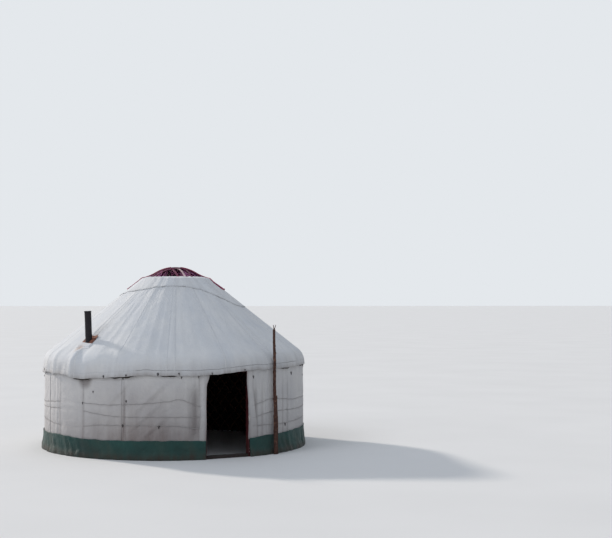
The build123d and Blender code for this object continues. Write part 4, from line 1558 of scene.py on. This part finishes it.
@dataclass(frozen=True)
class Crown:
    """The crown's two cloths: the white cap over the roof's upper end and the maroon cover behind."""

    shell: Shell
    seams: Seams
    roof: RoofCover
    thickness: float = 0.004
    lip: float = 0.556
    # Reach of the cap's uneven edge from the yurt's middle.
    cap_line: RoundLine = RoundLine(
        (
            (-180.0, 1.31), (-165.0, 1.30), (-125.0, 1.24), (-87.0, 1.09), (-71.0, 1.06), (-58.0, 1.015),
            (-46.0, 0.965), (-34.0, 0.945), (-22.0, 0.940), (-12.0, 0.955), (-3.0, 0.980), (8.0, 1.040),
            (18.0, 1.130), (26.0, 1.245), (34.0, 1.380), (42.0, 1.490), (75.0, 1.500), (115.0, 1.45),
            (155.0, 1.34), (180.0, 1.31),
        ),
        low=-180.0,
        soften=(-3.0, 0.0, 3.0),
    )
    dome_radius: float = 0.8436
    dome_middle: float = 2.94243
    cover_bearing: float = 158.0
    cover_spread: float = 90.0
    cover_edge: float = 1.02
    cover_rest: float = 0.66
    cover_break: float = 0.47
    cover_swing: float = 17.0

    def cap_reach(self, bearing: Grid) -> Grid:
        """Reach of the cap's edge at each bearing."""
        return self.cap_line.at(bearing) + 0.004 * ripple(bearing, 61, (19, 31, 52))

    def cover_reach(self, bearing: Grid) -> Grid:
        """Reach of the cover's edge at each bearing."""
        return self.cover_edge + 0.012 * ripple(bearing, 75, (9, 14, 25))

    def cap_lift(self, bearing: Grid, radius: Grid) -> Grid:
        """How far the cap's outer side lies off the roof's canvas.

        Args:
            bearing: Degrees round the yurt.
            radius: Distance from the middle.

        Returns:
            Metres.
        """
        reach = self.cap_reach(bearing)
        share = np.maximum((reach - radius) / (reach - self.lip), 0.0)
        curl = np.clip(ripple(bearing, 63, (11, 17, 29, 41)), -0.2, 1.4) * np.exp(-share / 0.10)
        creased = 0.0022 * ripple(bearing + 30.0 * share, 65, (23, 37, 53)) * rising(share, 0.05, 0.5)
        hem = falling(reach - radius, 0.026, 0.032)
        return 0.0075 + 0.004 * curl + np.maximum(creased, -0.0015) + 0.0014 * hem

    def cap(self) -> None:
        """Makes the white cap cloth, its edge curling a little off the roof, and its stitches."""
        bearing = np.linspace(-TURN / 2, TURN / 2, 273)[None, :]
        share = np.linspace(0.0, 1.0, 30)[:, None]
        reach = self.cap_reach(bearing)
        radius = reach + (self.lip - reach) * share
        run = self.shell.run_at_radius(np.maximum(radius, self.shell.opening_radius))
        points = self.roof.surface(bearing, run, self.cap_lift(bearing, radius))
        inner = np.maximum(self.shell.opening_radius - radius, 0.0)[..., None]
        points = points - inner * place(bearing, 1.0, 1.4)
        soil_and_shade = 0.08 + 0.14 * np.exp(-share / 0.06) + 0.06 * ripple(bearing, 67, (6, 13, 21))
        marks = {"soil_and_shade": soil_and_shade, "stain_and_shade": np.zeros(1)}
        texture, looks = (np.radians(bearing) * 0.9, radius), (Look.COTTON_CANVAS,)
        piece = make_sheet("crown_cap_cloth", points, texture, looks, self.thickness, marks, True)
        cut = {"flat": (2.9, 2.9), "held": "laid", "area": 4.2, "rests_on": ["roof_canvas"]}
        hand_over(piece, looks[0], ["crown_cap"], **cut)
        edge = np.linspace(-TURN / 2, TURN / 2, 361)
        lines = []
        for inset in (0.012, 0.026):
            reach = self.cap_reach(edge) - inset
            lift = self.cap_lift(edge, reach) + 0.0006
            spots = self.roof.surface(edge, self.shell.run_at_radius(reach), lift)
            lines.append((spots, facing(edge, 52.0)))
        self.seams.sew("crown_cap_stitches", 17, lines)

    def cover_surface(self, bearing: Grid, radius: Grid, lift: float = 0.0) -> Grid:
        """Points of the maroon cover, over the bent laths and down on the cap.

        Args:
            bearing: Degrees round the yurt.
            radius: Distance from the middle.
            lift: Metres outwards.

        Returns:
            Points with x, y and z on the last axis.
        """
        bearing, radius = np.broadcast_arrays(np.asarray(bearing, float), np.asarray(radius, float))
        rest = np.maximum(radius, self.cover_rest)
        fold = np.maximum(0.006 * ripple(bearing + 12.0 * radius, 73, (16, 27, 43)), 0.0)
        raised = 0.010 * np.clip(ripple(bearing, 71, (21, 34, 49)), 0.0, 1.5) * rising(radius, 0.66, 1.0)
        over = self.cap_lift(bearing, rest) + self.thickness + 0.0025 + fold + raised + lift
        laid = self.roof.surface(bearing, self.shell.run_at_radius(rest), over)
        low = laid[..., 2]
        dome = self.dome_middle + np.sqrt(np.maximum(self.dome_radius**2 - radius**2, 0.0)) + lift
        crest = self.dome_middle + math.sqrt(self.dome_radius**2 - self.cover_break**2) + lift
        share = np.clip((radius - self.cover_break) / (self.cover_rest - self.cover_break), 0.0, 1.0)
        between = np.abs(np.sin(2.0 * np.radians(bearing))) ** 1.5
        span = crest + (low - crest) * share - (0.002 + 0.005 * between) * np.sin(math.pi * share)
        height = np.where(radius < self.cover_break, dome, np.where(radius < self.cover_rest, span, low))
        away = np.where(radius < self.cover_rest, radius, np.hypot(laid[..., 0], laid[..., 1]))
        return place(bearing, away, height)

    def swung(self, bearing: Grid, radius: Grid) -> Grid:
        """Bearings of the cover, whose right edge swings forward once it is over the ring."""
        near_edge = falling(bearing - self.cover_bearing, -self.cover_spread, -40.0)
        return bearing - self.cover_swing * near_edge * rising(radius, 0.64, 0.86)

    def cover(self) -> None:
        """Makes the maroon cover over the rear half of the crown, with its braid."""
        first, last = self.cover_bearing - self.cover_spread, self.cover_bearing + self.cover_spread
        share = np.linspace(0.0, 1.0, 50)[:, None]
        bearing = np.linspace(first, last, 150)[None, :]
        radius = self.cover_reach(bearing) * (1.0 - share) + 0.012 * share
        across = self.swung(bearing, radius)
        # The middle of the cover, near black on the lining, is painted shade where the crown's far side lies
        # in shadow; on the wool's outer side the same mask tints it towards its stain colour.
        aside = radius * np.sin(np.radians(across - self.cover_bearing)) - 0.06
        painted_shade_middle = 0.95 * falling(np.abs(aside), 0.12, 0.26) * falling(radius, 0.5, 0.62)
        marks = {
            "soil_and_shade": 0.15 + 0.2 * ripple(across + 20 * radius, 77, (7, 12, 18)),
            "stain_and_shade": 0.35 * np.exp(-share / 0.05) + painted_shade_middle,
        }
        texture = (radius * np.sin(np.radians(across)), radius * np.cos(np.radians(across)))
        looks = (Look.MAROON_WOOL_CLOTH, Look.MAUVE_LINING_WITH_PAINTED_GLOW_AND_SHADE)
        points = self.cover_surface(across, radius)
        piece = make_sheet("crown_wool_cover", points, texture, looks, self.thickness, marks)
        rests = ["crown_arches_upper", "crown_ring"]
        hand_over(piece, looks[0], ["crown_cover"], flat=(2.3, 1.2), held="draped", area=1.9, rests_on=rests)
        where = np.linspace(first, last, 240)
        edges = [(where, self.cover_reach(where) - 0.004, 0.003)]
        side = np.linspace(0.10, self.cover_edge, 60)
        edges += [(np.full(60, turn), side, 0.002) for turn in (first + 0.6, last - 0.6)]
        lines = []
        for where, reach, lift in edges:
            across = self.swung(where, reach)
            lines.append((self.cover_surface(across, reach, lift), facing(across)))
        sizes = {"radius": 0.009, "lay": 0.06, "step": 0.010, "lobe": 0.12}
        repeat("crown_cover_braid", Tool.ROPE, Look.RED_WOOL_BRAID, 19, lines, **sizes)

    def build(self) -> None:
        """Makes both cloths."""
        self.cap()
        self.cover()


def merge_flat(solid: bmesh.types.BMesh) -> None:
    """Merges doubled points, and faces that lie in one plane.

    Args:
        solid: What is being changed.
    """
    bmesh.ops.remove_doubles(solid, verts=solid.verts, dist=1e-5)
    flat = {"angle_limit": math.radians(1.0), "delimit": {"NORMAL"}}
    bmesh.ops.dissolve_limit(solid, verts=solid.verts, edges=solid.edges, **flat)


def eased(node: str, name: str, edge: float, look: Look) -> Piece:
    """Makes a copy of a node's solid with its sharp edges eased.

    Args:
        node: The frame's node that the copy stands for.
        name: The piece's name.
        edge: Width of the eased edge in metres.
        look: The piece's finish.

    Returns:
        The finished piece.
    """
    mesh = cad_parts[node].data.copy()
    mesh.materials.clear()
    mesh.materials.append(look.material)
    reshape(mesh, merge_flat)
    piece = link(name, mesh)
    ease = piece.modifiers.new("eased_edge", "BEVEL")
    ease.width = edge
    ease.segments = 2
    ease.limit_method = "ANGLE"
    ease.angle_limit = math.radians(40.0)
    mesh = settle(piece).data
    mesh.polygons.foreach_set("use_smooth", [True] * len(mesh.polygons))
    mesh.set_sharp_from_angle(angle=math.radians(32.0))
    hand_over(piece, look, [node])
    return piece


@dataclass(frozen=True)
class Timbers:
    """The crown's wood, the doorway's frame, the lattice and the poles."""

    shell: Shell
    crown_edge: float = 0.003
    ring_edge: float = 0.004
    frame_edge: float = 0.005
    peg_heights: tuple[float, ...] = (0.10, 0.16)
    pegs_down: tuple[float, ...] = (0.06, 0.12)
    rag_spot: tuple[float, float, float] = (0.466, -2.712, 0.78)
    lattice_inner: float = 2.7004
    lattice_middle: float = 0.8
    lattice_gap: float = 0.139
    diamond_rows: int = 5
    crossings: int = 64

    def crown(self) -> None:
        """Makes the ring and the laths, with the middle lath painted pale as a sunlit highlight."""
        eased("crown_ring", "crown_ring_wood", self.ring_edge, Look.PAINTED_BIRCH_CROWN)
        for side in ("upper", "lower"):
            names = (f"crown_arches_{side}", f"crown_laths_{side}")
            laths = eased(*names, self.crown_edge, Look.PAINTED_BIRCH_CROWN).data
        laths.materials.append(Look.PEG_BIRCH_AND_SUNLIT_LATH.material)
        # The middle lath takes the pale birch: painted light for the lath that the sun lights.
        for face in laths.polygons:
            face.material_index = int(abs(face.center.x) < 0.05)

    def doorway(self) -> None:
        """Makes the doorway's four timbers, the pegs that pin them and the rag on one jamb."""
        for side in ("jamb_left", "jamb_right", "lintel", "threshold"):
            look = Look.NEAR_BLACK_THRESHOLD_PINE if side == "threshold" else Look.PAINTED_DOOR_PINE
            eased(f"door_{side}", f"door_{side}_timber", self.frame_edge, look)
        front = facing(0.0)
        rag = [(self.rag_spot, front)]
        repeat("jamb_rag", Tool.KNOT, Look.COTTON_RAG, 21, rag, size=0.014, cord=0.009, tail=0.06)
        pegs = []
        for node in ("door_jamb_left", "door_jamb_right"):
            low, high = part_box(node)
            for height in (*self.peg_heights, *(high.z - down for down in self.pegs_down)):
                pegs.append((((low.x + high.x) / 2, low.y - 0.001, height), front))
        sizes = {"length": 0.016, "width": 0.016, "height": 0.006}
        repeat("doorway_pegs", Tool.STUD, Look.PEG_BIRCH_AND_SUNLIT_LATH, 23, pegs, **sizes)

    def lattice(self) -> None:
        """Gives the lattice and the poles their wood, and pins each crossing with rawhide."""
        looks = {"lattice_section": Look.PEELED_WILLOW, "roof_poles": Look.RED_OCHRE_POLE}
        for name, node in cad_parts.items():
            for start, look in looks.items():
                for slot in node.material_slots if name.startswith(start) else ():
                    slot.material = look.material
        edge = self.shell.door_bearing + self.lattice_gap
        pitch = (TURN - 2 * edge) / self.crossings
        lines = []
        for row in range(-self.diamond_rows, self.diamond_rows + 1):
            steps = np.arange(1, self.crossings) + (0.5 if row % 2 else 0.0)
            bearing = edge + pitch * steps[steps < self.crossings]
            height = self.lattice_middle + row * self.shell.diamond_height / 2
            lines.append((place(bearing, self.lattice_inner, height), -facing(bearing)))
        sizes = {"length": 0.016, "width": 0.013, "height": 0.009}
        repeat("lattice_thongs", Tool.STUD, Look.RAWHIDE_THONG, 25, lines, **sizes)

    def build(self) -> None:
        """Makes every timber."""
        self.crown()
        self.doorway()
        self.lattice()


@dataclass(frozen=True)
class StovePipe:
    """Sooty sheet-iron pipe with a folded seam, its band, and the rusty plate that it comes through."""

    shell: Shell
    roof: RoofCover
    foot: tuple[float, float, float] = (-2.18647, -0.85823, 1.90033)
    rise: tuple[float, float, float] = (-0.04044, 0.01634, 0.99905)
    length: float = 0.9495
    radius: float = 0.068
    wall: float = 0.0022
    # Where the sheet's edges lap, in radians round the pipe, and the heights of the joint's corners.
    lap: float = 3.9
    joint: tuple[float, ...] = (0.44, 0.452, 0.458, 0.47, 0.478, 0.49)
    rivets: tuple[float, ...] = (0.05, 0.10, 0.20, 0.30, 0.40, 0.55, 0.65, 0.75, 0.85, 0.92)
    band_edge: float = 0.0012
    plate: float = 0.330
    plate_thickness: float = 0.0025
    flap_size: tuple[float, float] = (0.42, 0.15)
    flap_thickness: float = 0.0025

    def around(self, angle: Grid) -> Grid:
        """Directions square to the pipe.

        Args:
            angle: Radians round the pipe.

        Returns:
            Unit directions, with x, y and z on the last axis.
        """
        up = Vector(self.rise).normalized()
        across = Vector((1.0, 0.0, 0.0)).cross(up).normalized()
        over = up.cross(across).normalized()
        return np.cos(angle)[..., None] * np.array(across) + np.sin(angle)[..., None] * np.array(over)

    def tube(self) -> None:
        """Makes the pipe from two lengths of rolled sheet, dented and with an uneven top, and its rivets."""
        foot, up = np.array(self.foot), np.array(Vector(self.rise).normalized())
        level = np.unique(np.concatenate([np.linspace(0.0, self.length, 34), self.joint]))[:, None]
        angle = np.linspace(0.0, math.tau, 57)[None, :]
        radius = self.radius - 0.0012 + 0.0028 * bell(angle - self.lap, 0.10)
        _, low, high, *_, top = self.joint
        radius = radius + 0.0030 * rising(level, low, high) * falling(level, high, top)
        radius = radius + 0.0012 * np.sin(3 * angle + 5.0 * level) * np.sin(9.0 * level + 1.0)
        radius = radius + 0.0022 * np.sin(5 * angle + 0.7) * rising(level, self.length - 0.06, self.length)
        reach = level + 0.003 * np.sin(2 * angle + 1.0) * rising(level, self.length - 0.05, self.length)
        points = foot + radius[..., None] * self.around(angle) + reach[..., None] * up
        texture, looks = (angle * self.radius, level), (Look.SOOTY_SHEET_IRON,)
        piece = make_sheet("stove_pipe_iron", points, texture, looks, self.wall, closed=True)
        hand_over(piece, looks[0], ["stove_pipe"])
        out = self.around(np.array(self.lap + 0.10))
        heads = foot + out * (self.radius + 0.0004) + up * np.array(self.rivets)[:, None]
        sizes = {"length": 0.009, "width": 0.009, "height": 0.005}
        repeat("stove_pipe_rivets", Tool.STUD, looks[0], 27, [(heads, out)], **sizes)

    def flashing(self) -> None:
        """Makes the square plate round the pipe, buckled at its corners, and its nails."""
        bearing, slope = self.roof.pipe_bearing, self.shell.slope
        side, normal = facing(bearing + 90.0), facing(bearing, 90.0 - slope)
        upslope = -facing(bearing, -slope)
        line = self.shell.line
        height = np.interp(-self.roof.pipe_radius, -line.radius, line.height)
        seat = place(bearing, self.roof.pipe_radius, height)
        foot, up = np.array(self.foot), np.array(Vector(self.rise).normalized())
        offset = foot + up * ((seat - foot) @ normal) / (up @ normal) - seat
        angle = np.linspace(0.0, math.tau, 97)[None, :]
        rings = np.array([0.0, 0.08, 0.2, 0.4, 0.6, 0.8, 0.92, 1.0])[:, None]
        half, hole = 0.5 * self.plate, self.radius + 0.0005
        edge = half / np.maximum(np.abs(np.cos(angle)), np.abs(np.sin(angle)))
        tall = hole / math.cos(math.radians(slope))
        u = (offset @ side + hole * np.cos(angle)) * (1 - rings) + edge * np.cos(angle) * rings
        v = (offset @ upslope + tall * np.sin(angle)) * (1 - rings) + edge * np.sin(angle) * rings
        corner = np.clip(np.abs(u * v) / half**2, 0.0, 1.0)
        lift = 0.020 * corner**2 * (1.0 + 0.8 * np.sign(u) * np.sign(v)) * rising(v, -0.12, 0.1)
        lift = lift + 0.0025 * np.sin(31.0 * u + 1.0) * np.sin(27.0 * v) + 0.0035
        lift = lift + 0.010 * np.exp(-rings / 0.05) + self.plate_thickness
        points = seat + u[..., None] * side + v[..., None] * upslope + lift[..., None] * normal
        texture, looks = (np.zeros(1), np.zeros(1)), (Look.RUSTED_SHEET_IRON,)
        piece = make_sheet("flashing_plate", points[::-1], texture, looks, self.plate_thickness, closed=True)
        hand_over(piece, looks[0], ["pipe_plate"])
        inset = half - 0.024
        nails = []
        for a, b in ((-1, -1), (-1, 1), (1, -1), (1, 1), (0, 1), (0, -1), (1, 0), (-1, 0)):
            share = 0.82 if a and b else 1.0
            nails.append((seat + (side * a + upslope * b) * inset * share + normal * 0.010, normal))
        sizes = {"length": 0.013, "width": 0.013, "height": 0.007}
        repeat("flashing_nails", Tool.STUD, Look.IRON_NAIL, 29, nails, **sizes)

    def flap(self) -> None:
        """Makes the flap of canvas lapped over the plate's lower edge."""
        share = np.linspace(0.0, 1.0, 48)[None, :]
        side = (share - 0.5) * self.flap_size[0]
        upper = -0.078 + 0.012 * np.sin(share * 5.0 + 0.4)
        lower = -0.226 + 0.014 * np.sin(share * 7.0)
        rise = lower + (upper - lower) * np.linspace(0.0, 1.0, 22)[:, None]
        half = 0.5 * self.plate
        beside = np.hypot(np.maximum(np.abs(side) - half, 0.0), np.maximum(-half - rise, 0.0))
        over = 0.0125 + side**2 / 7.6 + 0.003 * np.sin(side * 46.0) ** 2
        run = self.shell.run_at_radius(self.roof.pipe_radius) + rise
        across = np.degrees(side / np.interp(run, self.shell.line.run, self.shell.line.radius))
        lift = 0.0045 + over * falling(beside, 0.0, 0.03)
        points = self.roof.surface(self.roof.pipe_bearing + across, run, lift)
        looks, marks = (Look.COTTON_CANVAS,), self.roof.weather(points)
        piece = make_sheet("flashing_flap", points, (side, rise), looks, self.flap_thickness, marks)
        rests = ["flashing_plate", "roof_canvas"]
        hand_over(piece, looks[0], flat=self.flap_size, held="laid", rests_on=rests)

    def build(self) -> None:
        """Makes the pipe, the plate, the flap and the band round the pipe's top."""
        self.tube()
        self.flashing()
        self.flap()
        eased("pipe_band", "pipe_band_iron", self.band_edge, Look.SOOTY_SHEET_IRON)


class Limb(NamedTuple):
    """A stem or branch: where and which way it grows, its length, end radii and seed."""

    start: Grid
    way: Grid
    length: float
    radii: tuple[float, float]
    seed: int


@dataclass(frozen=True)
class PropPole:
    """A rough forked stem leaning on the eave beside the doorway."""

    bearing: float = 22.5
    foot_distance: float = 2.8370
    lean: float = 1.01
    length: float = 2.48
    radii: tuple[float, float] = (0.0355, 0.0260)
    splint_shift: float = 0.046
    splint_length: float = 1.16
    splint_radii: tuple[float, float] = (0.026, 0.019)
    prong_radii: tuple[float, float] = (0.0095, 0.005)
    twig_radii: tuple[float, float] = (0.008, 0.005)
    # Degrees of spread and length of each prong; height, spin in radians and length of each twig.
    prongs: tuple[tuple[float, float], ...] = ((24.0, 0.135), (-12.0, 0.125))
    twigs: tuple[tuple[float, float, float], ...] = (
        (2.12, 0.9, 0.055), (1.72, -1.0, 0.04), (1.18, 0.4, 0.035),
    )
    step: float = 0.022
    sides: int = 18

    def bark(self, limb: Limb, share: Grid, angle: Grid) -> Grid:
        """Relief of the bark, with ridges and a few knots, as a share of the radius.

        Args:
            limb: The stem or branch.
            share: 0 at its foot to 1 at its tip.
            angle: Radians round it.

        Returns:
            The relief at each point.
        """
        draw = np.random.default_rng(limb.seed)
        along = share * limb.length
        bark = 0.05 * np.sin(4 * angle + 7 * share) + 0.04 * np.sin(7 * angle - 23 * along + 1.0)
        bark = bark + 0.05 * np.sin(61.0 * along + 3 * angle)
        for _ in range(max(2, int(limb.length * 4))):
            where, turn = draw.uniform(0.05, 0.95), draw.uniform(0.0, math.tau)
            gap = np.angle(np.exp(1j * (angle - turn)))
            knot = bell(gap, 0.5) * bell((share - where) * limb.length, self.step)
            bark = bark + draw.uniform(0.25, 0.6) * knot
        return bark

    def limb(self, limb: Limb) -> Piece:
        """Makes one stem or branch: a tapering, slightly crooked body, closed at both ends.

        Args:
            limb: Its sizes.

        Returns:
            The body.
        """
        start, way, length, (thick, thin), seed = limb
        rings = max(10, int(length / self.step))
        share = np.linspace(0.0, 1.0, rings)[:, None]
        angle = np.linspace(0.0, math.tau, self.sides, endpoint=False)[None, :]
        radius = (thick + (thin - thick) * share) * (1.0 + self.bark(limb, share, angle))
        side = np.cross(way, [0.0, 1.0, 0.0])
        side = side / np.linalg.norm(side)
        over = np.cross(way, side)
        crook = 0.006 * np.sin(2.1 * math.pi * share * length + seed) * np.sin(math.pi * share)
        middle = start + share[..., None] * length * way + crook[..., None] * side
        ring = np.cos(angle)[..., None] * side + np.sin(angle)[..., None] * over
        body = (middle + radius[..., None] * ring).reshape(-1, 3)
        points = np.concatenate([body, [start, middle[-1, 0] + way * 0.002]])
        row, column = np.mgrid[: rings - 1, : self.sides]
        a, b = row * self.sides + column, row * self.sides + (column + 1) % self.sides
        faces = np.stack([a, b, b + self.sides, a + self.sides], axis=-1).reshape(-1, 4).tolist()
        foot, tip = len(body), len(body) + 1
        for number, after in zip(a[0].tolist(), b[0].tolist()):
            last = foot - self.sides
            faces += [(foot, after, number), (tip, last + number, last + after)]
        piece = mesh_piece("limb", points, faces, Look.STRIPPED_SPRUCE_BARK)
        reshape(piece.data, lambda solid: bmesh.ops.recalc_face_normals(solid, faces=solid.faces))
        return piece

    def build(self) -> None:
        """Makes the stem, its splint, forked tip and three snapped twigs, joined into one piece."""
        out, side = facing(self.bearing), facing(self.bearing + 90.0)
        grow = -facing(self.bearing, self.lean - 90.0)
        foot = out * self.foot_distance
        limbs = [Limb(foot, grow, self.length, self.radii, 5)]
        limbs.append(Limb(foot + side * self.splint_shift, grow, self.splint_length, self.splint_radii, 7))
        top = foot + grow * (self.length - 0.03)
        for number, (spread, length) in enumerate(self.prongs):
            tilt = math.radians(spread)
            way = grow * math.cos(tilt) + side * math.sin(tilt)
            limbs.append(Limb(top, way, length, self.prong_radii, 40 + number))
        for number, (height, spin, length) in enumerate(self.twigs):
            way = side * math.sin(spin) + out * math.cos(spin) * 0.35 + grow * 0.75
            way = way / np.linalg.norm(way)
            limbs.append(Limb(foot + grow * height, way, length, self.twig_radii, 50 + number))
        pieces = [self.limb(limb) for limb in limbs]
        join("prop_pole_stem", pieces, Look.STRIPPED_SPRUCE_BARK, ["prop_pole"])


@dataclass(frozen=True)
class Studio:
    """Pale floor, pale background, soft light with a milder lamp behind the left, and the camera."""

    distance: float = 25.0
    height: float = 2.97
    bearing: float = -22.0
    turn: float = 6.45
    pitch: float = 1.79
    # Focal length in pixels of the photograph's 612 columns.
    focal_pixels: float = 1152.0
    photo_columns: float = 612.0
    sensor: float = 36.0
    clip_end: float = 9000.0
    floor_reach: float = 3000.0

    def floor(self) -> None:
        """Makes the pale floor, which isn't part of the yurt."""
        ways = ((-1, -1), (1, -1), (1, 1), (-1, 1))
        corners = [(x * self.floor_reach, y * self.floor_reach, 0.0) for x, y in ways]
        mesh_piece("studio_floor", corners, [(0, 1, 2, 3)], Look.MATT_STUDIO_FLOOR)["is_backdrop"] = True

    def lamp(self, name: str, bearing: float, rise: float, energy: float, spread: float, colour: str) -> None:
        """Hangs one distant lamp.

        Args:
            name: The lamp's name.
            bearing: Where it stands, in degrees from the doorway.
            rise: Its height above level, in degrees.
            energy: Its strength.
            spread: Its apparent size in degrees.
            colour: sRGB hex value of its light.
        """
        light = bpy.data.lights.new(name, "SUN")
        light.energy = energy
        light.angle = math.radians(spread)
        light.color = linear(colour)[:3]
        towards = Vector(facing(bearing, rise))
        link(name, light).rotation_euler = towards.to_track_quat("Z", "Y").to_euler()

    def sky(self) -> None:
        """Sets the even light all round and the pale background that the camera sees."""
        world = bpy.data.worlds.new("studio_light")
        bpy.context.scene.world = world
        world.use_nodes = True
        nodes = Nodes(world.node_tree)
        even = world.node_tree.nodes["Background"]
        nodes.feed(even, {"Color": linear("E6EEFA"), "Strength": 0.56})
        seen = {"Color": linear("E4E8EC"), "Strength": 1.0}
        seen = nodes.add("ShaderNodeBackground", seen, "Background")
        path = nodes.add("ShaderNodeLightPath").outputs
        direct = (path["Is Camera Ray"], path["Is Glossy Ray"])
        direct = nodes.add("ShaderNodeMath", direct, 0, operation="MAXIMUM")
        both = nodes.add("ShaderNodeMixShader", (direct, even.outputs["Background"], seen), "Shader")
        nodes.feed(world.node_tree.nodes["World Output"], {"Surface": both})

    def camera(self) -> None:
        """Sets the camera where the photographer stood."""
        lens = bpy.data.cameras.new("photo_camera")
        lens.sensor_fit = "HORIZONTAL"
        lens.sensor_width = self.sensor
        lens.lens = self.focal_pixels / self.photo_columns * self.sensor
        lens.clip_end = self.clip_end
        stand = link("photo_camera", lens)
        stand.location = place(self.bearing, self.distance, self.height)
        ahead = -facing(self.bearing - self.turn)
        ahead[2] = math.tan(math.radians(self.pitch))
        stand.rotation_euler = Vector(ahead).to_track_quat("-Z", "Y").to_euler()
        bpy.context.scene.camera = stand

    def build(self) -> None:
        """Makes the floor, lamps, background and camera."""
        bpy.context.scene.view_settings.view_transform = "Standard"
        self.floor()
        self.sky()
        self.lamp("key_lamp", -158.0, 27.0, 2.3, 4.0, "FFF6EC")
        self.lamp("fill_lamp", -75.0, 36.0, 0.6, 30.0, "F2F6FF")
        self.camera()


def main() -> None:
    """Builds the yurt's pieces in order and writes what room the frame and the dressed yurt take."""
    logging.basicConfig(level=logging.INFO, format="%(name)s: %(message)s")
    shell = Shell()
    Studio().build()
    roof = RoofCover(shell)
    roof.canvas()
    roof.gap_shade_liner()
    walls = WallCloths(shell)
    walls.build()
    GroundSkirt(shell).build()
    seams = Seams(shell, roof, walls)
    seams.build()
    GirthRopes(shell, walls).build()
    Crown(shell, seams, roof).build()
    Timbers(shell).build()
    StovePipe(shell, roof).build()
    PropPole().build()
    bpy.context.view_layer.update()
    sizes = {
        "cad": [list(corner) for corner in cad_bounds],
        "visual": [list(corner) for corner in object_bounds()],
    }
    log.info("frame %s, dressed %s", sizes["cad"], sizes["visual"])


if __name__ == "__main__":
    main()
